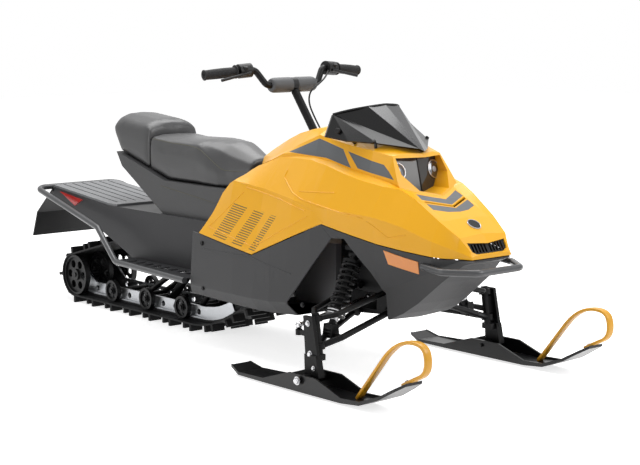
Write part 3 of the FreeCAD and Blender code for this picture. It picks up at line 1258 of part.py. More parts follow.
def main():
    os.makedirs("parts", exist_ok=True)
    save("track", make_track())
    save("rear_wheels", make_rear_wheels())
    save("slide_rails", make_rails())
    save("sliders", make_sliders())
    save("bogie_wheels", make_bogies())
    save("upper_idlers", make_upper_idlers())
    save("suspension_arms", make_suspension_arms())
    save("rear_shock", make_rear_shock())
    save("drive_axle", make_drive_axle())
    save("tunnel", make_tunnel())
    save("rear_deck", make_deck())
    save("snow_flap", make_snow_flap())
    save("rear_bumper", make_rear_bumper())
    board = make_running_board()
    save("running_board_right", board)
    save("running_board_left", mirrored(board))
    save("tail_light", make_tail_light())
    save("tail_reflectors", make_tail_reflectors())
    save("seat_base", make_seat_base())
    save("front_cushion", make_front_cushion())
    save("rear_cushion", make_rear_cushion())
    hood, sides, lower, nose, lens, housing, inserts = make_body_panels()
    save("hood", hood)
    save("hood_inserts", inserts)
    save("nose_grille", make_grille())
    save("side_reflectors", make_side_reflectors())
    left, right = left_and_right(sides)
    save("side_panel_left", left)
    save("side_panel_right", right)
    save("belly_pan", lower)
    save("nose_panel", nose)
    save("windshield", make_windshield(body_form(0.0)))
    save("headlight_housing", housing)
    save("headlight_lens", lens)
    save("front_bumper", make_front_bumper())
    save("bulkhead", make_bulkhead())
    save("engine_block", make_engine())
    for side, label in ((-1, "right"), (1, "left")):
        save("lower_arm_" + label, on_side(make_lower_arm(), side))
        save("upper_arm_" + label, on_side(make_upper_arm(), side))
        save("shock_" + label, on_side(make_shock(), side))
        save("spring_" + label, on_side(make_spring(), side))
        save("spindle_" + label, on_side(make_spindle(), side))
        save("tie_rod_" + label, on_side(make_tie_rod(), side))
        save("ski_" + label, on_side(make_ski(), side))
        save("ski_runner_" + label, on_side(make_runner(), side))
        save("ski_loop_" + label, on_side(make_ski_loop(), side))
        save("grip_" + label, on_side(make_grip(), side))
        save("control_" + label, on_side(make_control(), side))
    save("steering_column", make_column())
    save("handlebar", make_handlebar())
    save("bar_pad", make_pad())
    save("control_cable", make_control_cable())


main()
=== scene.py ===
import json
import math

import bmesh
import bpy
import numpy as np
from mathutils import Matrix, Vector
from mathutils.bvhtree import BVHTree

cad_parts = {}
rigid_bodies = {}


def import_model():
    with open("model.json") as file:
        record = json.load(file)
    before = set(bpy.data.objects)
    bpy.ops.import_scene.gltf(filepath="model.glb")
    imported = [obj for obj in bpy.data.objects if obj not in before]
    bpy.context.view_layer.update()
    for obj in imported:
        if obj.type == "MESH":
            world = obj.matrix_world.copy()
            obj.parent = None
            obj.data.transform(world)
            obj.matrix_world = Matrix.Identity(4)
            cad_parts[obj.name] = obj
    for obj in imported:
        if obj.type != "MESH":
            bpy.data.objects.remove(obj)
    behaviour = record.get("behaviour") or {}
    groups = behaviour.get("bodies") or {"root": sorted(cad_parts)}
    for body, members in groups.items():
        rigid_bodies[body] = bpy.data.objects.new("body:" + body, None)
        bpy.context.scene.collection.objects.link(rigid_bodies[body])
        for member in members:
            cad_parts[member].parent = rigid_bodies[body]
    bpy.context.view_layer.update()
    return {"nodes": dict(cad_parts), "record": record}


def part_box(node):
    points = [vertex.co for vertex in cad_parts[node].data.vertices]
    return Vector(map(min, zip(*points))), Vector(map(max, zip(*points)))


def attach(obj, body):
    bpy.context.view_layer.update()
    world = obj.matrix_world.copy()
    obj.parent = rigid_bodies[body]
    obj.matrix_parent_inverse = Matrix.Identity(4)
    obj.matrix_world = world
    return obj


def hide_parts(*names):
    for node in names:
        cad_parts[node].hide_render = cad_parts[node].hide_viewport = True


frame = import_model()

bl_info = {
    "name": "Youth Snowmobile",
    "version": (1, 0, 0),
    "blender": (4, 5, 0),
    "location": "View3D > Sidebar > Snowmobile",
    "description": "Dresses the jointed snowmobile model with its fine pieces and finishes",
    "category": "Object",
}

NODES = frame["nodes"]
RECORD = frame["record"]

# Camera: fitted to the photograph, in the model's frame
CAMERA_PLACE = (4.514, -3.589, 1.175)
CAMERA_BACK = (0.7510, -0.6459, 0.1372)
CAMERA_LENS = 92.1
CAMERA_SENSOR = 36.0
CAMERA_REACH = 60.0

# Floor and studio lamps: each lamp's name, place, aim, size in metres and share of the key light's power
FLOOR_HALF = 14.0
FLOOR_GLOW = 0.72
STUDIO_LAMPS = (
    ("key_lamp", (-0.6, 0.4, 3.2), (0.1, 0.0, 0.3), 3.2, 1.0),
    ("front_lamp", (3.4, 1.2, 2.6), (0.4, 0.0, 0.4), 2.2, 0.55),
    ("side_lamp", (0.8, -4.2, 1.6), (0.0, 0.0, 0.4), 2.4, 0.3),
)
LAMP_OVERHEAD = (0.0, 0.02, 1.0)


def srgb(red, green, blue):
    """A colour written as 0 to 255 display values, turned into linear light."""
    values = np.array([red, green, blue]) / 255.0
    linear = np.where(values <= 0.04045, values / 12.92, ((values + 0.055) / 1.055) ** 2.4)
    return (float(linear[0]), float(linear[1]), float(linear[2]), 1.0)


# Node helpers and shared effects

GRAIN_OUTPUTS = (("Tone", "NodeSocketFloat"), ("Roughness", "NodeSocketFloat"),
                 ("Normal", "NodeSocketVector"))


def link(tree, source, target):
    tree.links.new(source, target)


def new_group(name, inputs):
    """An empty shader node group with float inputs, which puts out a tone, a roughness and a normal."""
    group = bpy.data.node_groups.new(name, "ShaderNodeTree")
    for label, value in inputs:
        socket = group.interface.new_socket(name=label, in_out="INPUT", socket_type="NodeSocketFloat")
        socket.default_value = value
    for label, kind in GRAIN_OUTPUTS:
        group.interface.new_socket(name=label, in_out="OUTPUT", socket_type=kind)
    start = group.nodes.new("NodeGroupInput")
    end = group.nodes.new("NodeGroupOutput")
    return group, start, end


def math_node(tree, operation, first, second=None):
    """A Math node: each operand is a number or another node's socket."""
    node = tree.nodes.new("ShaderNodeMath")
    node.operation = operation
    for index, value in enumerate((first, second)):
        if value is None:
            continue
        if isinstance(value, (int, float)):
            node.inputs[index].default_value = value
        else:
            link(tree, value, node.inputs[index])
    return node.outputs[0]


def seen_directly(tree):
    """1 for the rays of the camera, of mirrors and of glass, else 0."""
    path = tree.nodes.new("ShaderNodeLightPath")
    seen = math_node(tree, "MAXIMUM", path.outputs["Is Camera Ray"], path.outputs["Is Glossy Ray"])
    return math_node(tree, "MAXIMUM", seen, path.outputs["Is Transmission Ray"])


def raise_normal(group, start, end, height, distance):
    """Feeds a group's Normal with a bump of a height, as strong as its Depth, and returns the bump."""
    bump = group.nodes.new("ShaderNodeBump")
    bump.inputs["Distance"].default_value = distance
    link(group, start.outputs["Depth"], bump.inputs["Strength"])
    link(group, height, bump.inputs["Height"])
    link(group, bump.outputs["Normal"], end.inputs["Normal"])
    return bump


def build_moulded_grain():
    """Fine moulded texture: small noise as a bump, and slow noise that shifts tone and roughness."""
    group, start, end = new_group(
        "Moulded Grain", (("Scale", 900.0), ("Depth", 0.1), ("Roughness", 0.4), ("Variation", 0.05)))
    place = group.nodes.new("ShaderNodeTexCoord")
    fine = group.nodes.new("ShaderNodeTexNoise")
    fine.inputs["Detail"].default_value = 3.0
    link(group, place.outputs["Object"], fine.inputs["Vector"])
    link(group, start.outputs["Scale"], fine.inputs["Scale"])
    slow = group.nodes.new("ShaderNodeTexNoise")
    slow.inputs["Scale"].default_value = 7.0
    slow.inputs["Detail"].default_value = 6.0
    slow.inputs["Roughness"].default_value = 0.65
    link(group, place.outputs["Object"], slow.inputs["Vector"])
    raise_normal(group, start, end, fine.outputs["Fac"], distance=0.0006)
    shift = math_node(group, "SUBTRACT", slow.outputs["Fac"], 0.5)
    spread = math_node(group, "MULTIPLY", shift, start.outputs["Variation"])
    link(group, math_node(group, "ADD", math_node(group, "MULTIPLY", spread, 2.0), 1.0), end.inputs["Tone"])
    rough = math_node(group, "ADD", start.outputs["Roughness"], math_node(group, "MULTIPLY", spread, 1.5))
    link(group, math_node(group, "MAXIMUM", rough, 0.03), end.inputs["Roughness"])
    return group


def build_brushed_lines():
    """Long fine lines along X: noise stretched on one axis, as a bump and a change of roughness."""
    group, start, end = new_group(
        "Brushed Lines", (("Scale", 60.0), ("Depth", 0.1), ("Roughness", 0.3)))
    place = group.nodes.new("ShaderNodeTexCoord")
    stretch = group.nodes.new("ShaderNodeMapping")
    stretch.inputs["Scale"].default_value = (0.6, 14.0, 14.0)
    link(group, place.outputs["Object"], stretch.inputs["Vector"])
    lines = group.nodes.new("ShaderNodeTexNoise")
    lines.inputs["Detail"].default_value = 4.0
    link(group, stretch.outputs["Vector"], lines.inputs["Vector"])
    link(group, start.outputs["Scale"], lines.inputs["Scale"])
    raise_normal(group, start, end, lines.outputs["Fac"], distance=0.0004)
    shift = math_node(group, "SUBTRACT", lines.outputs["Fac"], 0.5)
    link(group, math_node(group, "ADD", math_node(group, "MULTIPLY", shift, 0.25), 1.0), end.inputs["Tone"])
    rough = math_node(group, "ADD", start.outputs["Roughness"], math_node(group, "MULTIPLY", shift, 0.3))
    link(group, math_node(group, "MAXIMUM", rough, 0.05), end.inputs["Roughness"])
    return group


def build_vinyl_grain():
    """Seat cover: small rounded cells between fine creases, with a slow change of tone."""
    group, start, end = new_group(
        "Vinyl Grain", (("Scale", 420.0), ("Depth", 0.3), ("Roughness", 0.5)))
    place = group.nodes.new("ShaderNodeTexCoord")
    cells = group.nodes.new("ShaderNodeTexVoronoi")
    cells.feature = "SMOOTH_F1"
    link(group, place.outputs["Object"], cells.inputs["Vector"])
    link(group, start.outputs["Scale"], cells.inputs["Scale"])
    slow = group.nodes.new("ShaderNodeTexNoise")
    slow.inputs["Scale"].default_value = 9.0
    slow.inputs["Detail"].default_value = 5.0
    link(group, place.outputs["Object"], slow.inputs["Vector"])
    raise_normal(group, start, end, cells.outputs["Distance"], distance=0.0008).invert = True
    shift = math_node(group, "SUBTRACT", slow.outputs["Fac"], 0.5)
    link(group, math_node(group, "ADD", math_node(group, "MULTIPLY", shift, 0.16), 1.0), end.inputs["Tone"])
    rough = math_node(group, "ADD", start.outputs["Roughness"], math_node(group, "MULTIPLY", shift, 0.18))
    link(group, rough, end.inputs["Roughness"])
    return group


GROUPS = {}


def grain_group(kind):
    makers = {"moulded": build_moulded_grain, "brushed": build_brushed_lines, "vinyl": build_vinyl_grain}
    if kind not in GROUPS:
        GROUPS[kind] = makers[kind]()
    return GROUPS[kind]


def tinted(tree, color, tone):
    """A colour times a tone value, as a colour socket."""
    mix = tree.nodes.new("ShaderNodeVectorMath")
    mix.operation = "SCALE"
    if isinstance(color, tuple):
        mix.inputs[0].default_value = color[:3]
    else:
        link(tree, color, mix.inputs[0])
    link(tree, tone, mix.inputs["Scale"])
    return mix.outputs[0]


def finish(name, color, roughness, kind="moulded", metallic=0.0, coat=0.0, gloss=0.5, **values):
    """A material: one Principled shader fed by one of the shared grains."""
    material = bpy.data.materials.new(name)
    material.use_nodes = True
    tree = material.node_tree
    shader = tree.nodes["Principled BSDF"]
    shader.inputs["Metallic"].default_value = metallic
    shader.inputs["Specular IOR Level"].default_value = gloss
    shader.inputs["Coat Weight"].default_value = coat
    shader.inputs["Coat Roughness"].default_value = 0.06
    grain = tree.nodes.new("ShaderNodeGroup")
    grain.node_tree = grain_group(kind)
    grain.inputs["Roughness"].default_value = roughness
    for label, value in values.items():
        grain.inputs[label.capitalize()].default_value = value
    link(tree, tinted(tree, color, grain.outputs["Tone"]), shader.inputs["Base Color"])
    link(tree, grain.outputs["Roughness"], shader.inputs["Roughness"])
    link(tree, grain.outputs["Normal"], shader.inputs["Normal"])
    material.diffuse_color = color
    return material


YELLOW = srgb(238, 172, 14)
HATCH = srgb(112, 92, 44)
PANEL_GREY = srgb(62, 62, 63)
INSERT_GREY = srgb(88, 92, 96)
BLACK = srgb(17, 17, 18)
SEAT_GREY = srgb(52, 52, 53)
AMBER = srgb(228, 140, 60)

# Finishes: what each gives to its material's shader and to its grain
FINISHES = {
    "yellow_gloss": dict(color=YELLOW, roughness=0.34, coat=0.12, gloss=0.35, scale=260.0, depth=0.02,
                         variation=0.015),
    "dark_panel": dict(color=PANEL_GREY, roughness=0.5, gloss=0.25, scale=1500.0, depth=0.25, variation=0.04),
    "insert_grey": dict(color=INSERT_GREY, roughness=0.38, scale=1500.0, depth=0.12, variation=0.03),
    "black_plastic": dict(color=BLACK, roughness=0.45, gloss=0.25, scale=1200.0, depth=0.25, variation=0.06),
    "black_gloss": dict(color=srgb(8, 8, 9), roughness=0.22, gloss=0.3, coat=0.05, scale=200.0, depth=0.01,
                        variation=0.01),
    "smoked_screen": dict(color=srgb(40, 40, 42), roughness=0.22, coat=0.3, scale=200.0, depth=0.01,
                          variation=0.02),
    "black_steel": dict(color=srgb(12, 12, 13), roughness=0.38, gloss=0.15, scale=700.0, depth=0.12,
                        variation=0.05),
    "grey_tube": dict(color=srgb(56, 57, 59), roughness=0.35, coat=0.2, scale=500.0, depth=0.06, variation=0.04),
    "dark_sheet": dict(color=srgb(44, 44, 46), roughness=0.42, gloss=0.25, scale=600.0, depth=0.1,
                       variation=0.05),
    "rubber": dict(color=srgb(20, 20, 21), roughness=0.62, gloss=0.25, scale=500.0, depth=0.4, variation=0.08),
    "ski_plastic": dict(color=srgb(12, 12, 13), roughness=0.3, gloss=0.25, coat=0.1, scale=900.0, depth=0.1,
                        variation=0.05),
    "wheel_plastic": dict(color=srgb(20, 20, 21), roughness=0.42, gloss=0.25, scale=700.0, depth=0.15,
                          variation=0.05),
    "aluminium": dict(color=srgb(176, 178, 181), roughness=0.32, kind="brushed", metallic=1.0, scale=50.0,
                      depth=0.15),
    "bright_steel": dict(color=srgb(190, 190, 192), roughness=0.25, kind="brushed", metallic=1.0, scale=80.0,
                         depth=0.08),
    "deck_mat": dict(color=srgb(120, 121, 123), roughness=0.55, scale=800.0, depth=0.35, variation=0.05),
    "seat_cover": dict(color=SEAT_GREY, roughness=0.34, gloss=0.6, kind="vinyl", scale=520.0, depth=0.25),
    "seat_base_plastic": dict(color=srgb(54, 54, 55), roughness=0.5, scale=1200.0, depth=0.3, variation=0.04),
    "pad_foam": dict(color=srgb(70, 71, 73), roughness=0.6, kind="vinyl", scale=700.0, depth=0.2),
    "grip_rubber": dict(color=srgb(38, 38, 39), roughness=0.65, gloss=0.25, scale=900.0, depth=0.4,
                        variation=0.06),
    "amber_lens": dict(color=AMBER, roughness=0.2, coat=0.3, scale=300.0, depth=0.1, variation=0.03),
    "red_lens": dict(color=srgb(190, 40, 36), roughness=0.2, coat=0.3, scale=300.0, depth=0.1, variation=0.03),
    # Near-black with painted shade: the grille's bars are made darker than black plastic so that they read as the
    # shaded openings behind them.
    "grille_painted_shade_black": dict(color=srgb(6, 6, 6), roughness=0.6, gloss=0.25, scale=700.0, depth=0.2, variation=0.05),
    "seam_thread": dict(color=srgb(74, 72, 56), roughness=0.6, scale=900.0, depth=0.3, variation=0.05),
    "lamp_mirror": dict(color=srgb(120, 122, 126), roughness=0.16, metallic=0.9, scale=120.0, depth=0.3),
    "lamp_bulb": dict(color=srgb(150, 152, 156), roughness=0.1, coat=0.5, scale=120.0, depth=0.05),
    "lamp_glass": dict(color=srgb(44, 42, 39), roughness=0.12, gloss=0.25, coat=0.5, scale=90.0, depth=0.02,
                       variation=0.1),
    "strap_yellow": dict(color=srgb(212, 152, 18), roughness=0.4, coat=0.2, scale=900.0, depth=0.1),
    "cast_grey": dict(color=srgb(110, 110, 112), roughness=0.55, metallic=0.6, scale=300.0, depth=0.5,
                      variation=0.08),
}

# The printed bands on the side panels, in metres: the lines' pitch, the share of it that a line fills,
# and their slope, then the bands' lean and limits
HATCH_PITCH = 0.0082
HATCH_FILL = 0.42
HATCH_SLOPE = 0.12
BAND_LEAN = 0.75
BANDS = ((-0.215, -0.135), (-0.095, -0.035), (0.005, 0.04))
BAND_FOOT = (-0.135, 0.412)
BAND_HEAD = (-0.10, 0.535)


def step_between(tree, value, low, high):
    """1 where a value lies between two limits, else 0."""
    above = math_node(tree, "GREATER_THAN", value, low)
    return math_node(tree, "MULTIPLY", above, math_node(tree, "LESS_THAN", value, high))


def hatched_yellow():
    """The side panels' finish: yellow gloss with leaning bands of fine printed lines, read from X and Z."""
    material = finish("hatched_yellow", **FINISHES["yellow_gloss"])
    tree = material.node_tree
    shader = tree.nodes["Principled BSDF"]
    base = shader.inputs["Base Color"].links[0].from_socket
    place = tree.nodes.new("ShaderNodeTexCoord")
    parts = tree.nodes.new("ShaderNodeSeparateXYZ")
    link(tree, place.outputs["Object"], parts.inputs["Vector"])
    x, z = parts.outputs["X"], parts.outputs["Z"]
    slope = math_node(tree, "MULTIPLY", x, HATCH_SLOPE)
    line = math_node(tree, "FRACT", math_node(tree, "DIVIDE", math_node(tree, "ADD", z, slope), HATCH_PITCH))
    lines = math_node(tree, "LESS_THAN", line, HATCH_FILL)
    lean = math_node(tree, "SUBTRACT", x, math_node(tree, "MULTIPLY", z, BAND_LEAN))
    bands = None
    for low, high in BANDS:
        band = step_between(tree, lean, low, high)
        bands = band if bands is None else math_node(tree, "MAXIMUM", bands, band)
    foot = math_node(tree, "SUBTRACT", z, math_node(tree, "MULTIPLY", x, BAND_FOOT[0]))
    head = math_node(tree, "SUBTRACT", z, math_node(tree, "MULTIPLY", x, BAND_HEAD[0]))
    inside = math_node(tree, "MULTIPLY", math_node(tree, "GREATER_THAN", foot, BAND_FOOT[1]),
                       math_node(tree, "LESS_THAN", head, BAND_HEAD[1]))
    mask = math_node(tree, "MULTIPLY", math_node(tree, "MULTIPLY", lines, bands), inside)
    mix = tree.nodes.new("ShaderNodeMix")
    mix.data_type = "RGBA"
    link(tree, mask, mix.inputs["Factor"])
    link(tree, base, mix.inputs[6])
    mix.inputs[7].default_value = HATCH
    link(tree, mix.outputs[2], shader.inputs["Base Color"])
    return material


def make_finishes():
    made = {name: finish(name, **values) for name, values in FINISHES.items()}
    made["hatched_yellow"] = hatched_yellow()
    return made


NODE_FINISH = {
    "track": "rubber", "rear_wheels": "wheel_plastic", "slide_rails": "aluminium", "sliders": "black_plastic",
    "bogie_wheels": "wheel_plastic", "upper_idlers": "wheel_plastic", "suspension_arms": "black_steel",
    "rear_shock": "black_steel", "drive_axle": "black_steel", "tunnel": "dark_sheet", "rear_deck": "deck_mat",
    "snow_flap": "black_plastic", "rear_bumper": "grey_tube", "running_board_left": "dark_sheet",
    "running_board_right": "dark_sheet", "tail_light": "red_lens", "tail_reflectors": "red_lens",
    "seat_base": "seat_base_plastic", "front_cushion": "seat_cover", "rear_cushion": "seat_cover",
    "hood": "yellow_gloss", "side_panel_left": "yellow_gloss", "side_panel_right": "yellow_gloss",
    "belly_pan": "dark_panel", "nose_panel": "dark_panel", "windshield": "black_gloss",
    "headlight_housing": "black_plastic", "headlight_lens": "smoked_screen", "front_bumper": "grey_tube",
    "bulkhead": "black_steel", "engine_block": "cast_grey", "steering_column": "black_steel",
    "handlebar": "black_steel", "bar_pad": "pad_foam", "side_reflectors": "amber_lens",
    # The nose grille takes the near-black finish with painted shade, so that its bars read as shaded openings.
    "hood_inserts": "insert_grey", "nose_grille": "grille_painted_shade_black", "control_cable": "black_plastic",
}
SIDE_FINISH = {
    "lower_arm": "black_steel", "upper_arm": "black_steel", "shock": "black_steel", "spring": "black_steel",
    "spindle": "black_steel", "tie_rod": "bright_steel", "ski": "ski_plastic", "ski_runner": "bright_steel",
    "ski_loop": "yellow_gloss", "grip": "grip_rubber", "control": "black_plastic",
}
for label, value in SIDE_FINISH.items():
    NODE_FINISH[label + "_left"] = value
    NODE_FINISH[label + "_right"] = value

MATERIALS = {}


def paint(piece, label):
    piece.data.materials.clear()
    piece.data.materials.append(MATERIALS[label])


# Mesh helpers

FLAT_ANGLE = math.radians(1.0)


def metres(values):
    """Millimetres as an array of metres."""
    return np.asarray(values, float) / 1000.0


def body_of_node(node):
    for body, names in RECORD["behaviour"]["bodies"].items():
        if node in names:
            return body
    raise ValueError("no body holds " + node)


def add_piece(name, points, faces, label, body, smooth=False):
    """A new object from points and faces in metres, painted, and riding on a body."""
    mesh = bpy.data.meshes.new(name)
    corners = [tuple(point) for point in np.asarray(points, float)]
    mesh.from_pydata(corners, [], [tuple(int(index) for index in face) for face in faces])
    mesh.validate()
    piece = bpy.data.objects.new(name, mesh)
    bpy.context.scene.collection.objects.link(piece)
    if smooth:
        mesh.shade_smooth()
    else:
        mesh.shade_flat()
    paint(piece, label)
    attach(piece, body)
    return piece


def reworked(mesh, merge=None, turn_out=False, flatten=False):
    """Merges a mesh's near points, turns its faces outwards and melts its flat faces together, as asked."""
    work = bmesh.new()
    work.from_mesh(mesh)
    if merge is not None:
        bmesh.ops.remove_doubles(work, verts=work.verts, dist=merge)
    if turn_out:
        bmesh.ops.recalc_face_normals(work, faces=work.faces)
    if flatten:
        bmesh.ops.dissolve_limit(work, angle_limit=FLAT_ANGLE, verts=work.verts, edges=work.edges)
    work.to_mesh(mesh)
    work.free()


def softened_copy(node, label, width=0.002, segments=3, angle=24.0):
    """Replaces a panel by a copy whose edges are rounded over, as moulded plastic is."""
    mesh = NODES[node].data.copy()
    mesh.name = node + "_rounded"
    reworked(mesh, merge=2e-6, flatten=True)
    piece = bpy.data.objects.new(node + "_rounded", mesh)
    bpy.context.scene.collection.objects.link(piece)
    bevel = piece.modifiers.new("round over", "BEVEL")
    bevel.width = width
    bevel.segments = segments
    bevel.limit_method = "ANGLE"
    bevel.angle_limit = math.radians(angle)
    bevel.harden_normals = False
    mesh.shade_flat()
    paint(piece, label)
    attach(piece, body_of_node(node))
    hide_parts(node)
    return piece


def unit(vectors):
    """Vectors divided by their own length."""
    vectors = np.asarray(vectors, float)
    return vectors / np.linalg.norm(vectors, axis=-1, keepdims=True)


def tube_faces(rows, sides, turned_round=False):
    """The four-sided faces between a tube's rings of points and its two ends, turned round if asked."""
    row, column = np.meshgrid(np.arange(rows - 1), np.arange(sides), indexing="ij")
    beside = (column + 1) % sides
    low = row * sides
    high = low + sides
    wall = np.stack([low + column, high + column, high + beside, low + beside], axis=-1).reshape(-1, 4)
    last = (rows - 1) * sides
    faces = [tuple(face) for face in wall]
    faces += [tuple(range(sides)), tuple(range(last + sides - 1, last - 1, -1))]
    return [face[::-1] for face in faces] if turned_round else faces


def swept(path, radius, sides=12, reference=(0.0, 0.0, 1.0)):
    """A round bar along a path: path point plus radius times cos and sin of the angle on two square axes."""
    path = np.asarray(path, float)
    tangent = unit(np.gradient(path, axis=0))
    first = unit(np.cross(tangent, reference))
    second = np.cross(tangent, first)
    angle = np.linspace(0.0, 2.0 * np.pi, sides, endpoint=False)[None, :, None]
    reach = np.broadcast_to(np.asarray(radius, float), (len(path),))[:, None, None]
    rings = path[:, None] + reach * (np.cos(angle) * first[:, None] + np.sin(angle) * second[:, None])
    return rings.reshape(-1, 3), tube_faces(len(path), sides)


def turned(start, axis, profile, sides=24, phase=0.0):
    """A turned form: start plus distance times the axis plus radius times cos and sin round it."""
    start = np.asarray(start, float)
    axis = unit(axis)
    spare = (0.0, 0.0, 1.0) if abs(axis[2]) < 0.8 else (1.0, 0.0, 0.0)
    first = unit(np.cross(axis, spare))
    second = np.cross(axis, first)
    along, reach = np.asarray(profile, float).T
    angle = np.linspace(0.0, 2.0 * np.pi, sides, endpoint=False)[None, :, None] + phase
    rings = start + along[:, None, None] * axis
    rings = rings + reach[:, None, None] * (np.cos(angle) * first + np.sin(angle) * second)
    return rings.reshape(-1, 3), tube_faces(len(along), sides, turned_round=True)


def joined(parts):
    """Several (points, faces) pairs as one."""
    points, faces, count = [], [], 0
    for part_points, part_faces in parts:
        points.append(np.asarray(part_points, float))
        faces += [tuple(int(index) + count for index in face) for face in part_faces]
        count += len(part_points)
    return np.concatenate(points), faces


def other_side(part):
    """The mirror image in Y, with its faces turned round again."""
    points, faces = part
    return np.asarray(points) * (1.0, -1.0, 1.0), [tuple(reversed(face)) for face in faces]


def on_side(part, label):
    """A right-hand part as it is, or its mirror image for the left."""
    return part if label == "right" else other_side(part)


def hex_bolt(place, axis, size):
    """A washer, a six-sided head with a dome, all in the head's across-corners radius."""
    washer = turned(place, axis, [(0, size * 1.35), (size * 0.22, size * 1.35)], 20)
    head = turned(place, axis, [(size * 0.2, size), (size * 0.8, size), (size * 0.95, size * 0.82)], 6)
    return joined([washer, head])


def step_lengths(path):
    """The distances between a path's neighbouring points."""
    return np.linalg.norm(np.diff(path, axis=0), axis=1)


def ratio(top, bottom):
    """An array over another, and 0 where the lower one is 0."""
    return np.divide(top, bottom, out=np.zeros(top.shape), where=bottom > 0)


def smooth_path(corners, count):
    """A quadratic B-spline through its first and last corner, near the rest."""
    corners = np.asarray(corners, float)
    spans = len(corners) - 2
    knots = np.concatenate([[0, 0], np.arange(spans + 1), [spans, spans]]).astype(float)
    place = np.linspace(0.0, spans - 1e-9, count)
    weight = ((knots[:-1][None] <= place[:, None]) & (place[:, None] < knots[1:][None])).astype(float)
    for order in (1, 2):
        run_a = knots[order:-1] - knots[:-order - 1]
        run_b = knots[order + 1:] - knots[1:-order]
        share_a = ratio(place[:, None] - knots[:-order - 1], run_a)
        share_b = ratio(knots[order + 1:] - place[:, None], run_b)
        weight = share_a * weight[:, :-1] + share_b * weight[:, 1:]
    return weight @ corners


def helix(start, end, radius, turns, rest=0.6, steps=26):
    """A coil's line: start plus share times the way, plus radius times cos and sin; its ends lie flat."""
    start, end = np.asarray(start, float), np.asarray(end, float)
    axis = unit(end - start)
    first = unit(np.cross(axis, (1.0, 0.0, 0.0)))
    second = np.cross(axis, first)
    turn = np.linspace(0.0, turns, int(turns * steps))
    rise = np.clip((turn - rest) / (turns - 2.0 * rest), 0.0, 1.0)[:, None]
    angle = (2.0 * np.pi * turn)[:, None]
    return start + rise * (end - start) + radius * (np.cos(angle) * first + np.sin(angle) * second)


SIDES = ("right", "left")

# Control cable: radius in metres, and route in millimetres from the far block to the hole in the hood
CABLE_RADIUS = 0.003
CABLE_ROUTE = (
    (193.5, 165.5, 952.8),
    (220.0, 134.0, 936.0),
    (237.0, 94.0, 915.0),
    (238.0, 48.0, 890.0),
    (236.0, 38.0, 858.0),
    (252.0, 38.0, 817.0),
    (316.0, 30.0, 752.0),
)

# Windshield edge, in millimetres, from its right corner to its middle
SCREEN_EDGE = ((568.0, -141.0, 831.0), (600.0, -118.0, 843.0), (655.0, -66.0, 857.0), (661.0, -20.0, 861.0),
               (662.0, 0.0, 862.0))
SCREEN_KNOBS = (((612.0, -157.0, 781.0), (0.2, -1.0, 0.15), 1.0), ((736.0, -116.0, 752.0), (0.3, -0.6, 0.8), 0.7))
KNOB_PROFILE = ((0.0, 0.009), (0.006, 0.009), (0.0075, 0.0078), (0.008, 0.004))

# Headlight glass, as in the part: its top, foot and side corners in millimetres
GLASS_TOP = (806.0, 0.0, 704.0)
GLASS_FOOT = (835.0, 0.0, 592.0)
GLASS_SIDE = (790.0, -100.0, 704.0)
LAMP_DOWN = 0.40
LAMP_OUT = 0.80
LAMP_RING = ((0.0, 31.0), (2.4, 31.0), (3.2, 29.6), (3.2, 27.2), (1.6, 26.6), (0.4, 26.0))
LAMP_BOWL = ((0.3, 26.4), (0.9, 26.0), (1.1, 8.0))
LAMP_BULB = ((0.9, 10.0), (2.6, 9.0), (3.4, 6.5), (3.8, 3.0))
LAMP_PIECES = (("lamp_rings", LAMP_RING, 48, "bright_steel"), ("lamp_bowls", LAMP_BOWL, 48, "lamp_mirror"),
               ("lamp_bulbs", LAMP_BULB, 32, "lamp_bulb"))
LAMP_LIFT = 0.0002

# Front shock, in millimetres
SHOCK_TOP = (722.0, -182.0, 400.0)
SHOCK_FOOT = (742.0, -300.0, 184.0)
SPRING_REACH = 0.0265
SPRING_WIRE = 0.0044
SPRING_TURNS = 9.5
COLLAR_PROFILE = ((0.0, 31.4), (3.5, 31.4), (4.5, 29.0), (9.0, 29.0), (10.0, 31.2), (13.0, 31.2), (13.5, 20.0))

# Handlebar, in metres
BAR_CENTER = (0.196, 0.908)
BAR_HALF = 0.342
BAR_RUN = 0.192
BAR_BEND = (0.018, 0.054)
BAR_END = (0.048, 0.039)
GRIP_LENGTH = 0.122
CONTROL_GAP = 0.008

# Fold lines of the panels in the side view: node, finish, radius and corners (x, z) in millimetres
FOLDS = (
    ("hood", "yellow_gloss", 2.2, ((394, 643), (395, 618), (472, 578), (531, 562), (675, 543), (800, 524))),
    ("hood", "yellow_gloss", 1.6, ((505, 584), (669, 593))),
    ("hood", "yellow_gloss", 1.4, ((813, 516), (884, 470), (949, 485))),
    ("side_panel_right", "yellow_gloss", 1.6, ((212, 556), (132, 490), (50, 426))),
    ("side_panel_right", "yellow_gloss", 1.6, ((50, 426), (299, 388), (343, 404), (572, 512))),
    ("side_panel_right", "yellow_gloss", 1.8, ((225, 574), (426, 551), (560, 527))),
    ("belly_pan", "dark_panel", 1.4, ((36, 348), (297, 352), (502, 318))),
)

# Ski straps: the route's corners (x, z) in millimetres
SKI_Y = 400.0
STRAP_ROUTE = ((984.0, 20.0), (1060.0, 112.0), (1124.0, 190.0), (1190.0, 224.0), (1262.0, 222.0), (1278.0, 178.0),
               (1268.0, 138.0), (1225.0, 118.0), (1180.0, 94.0))

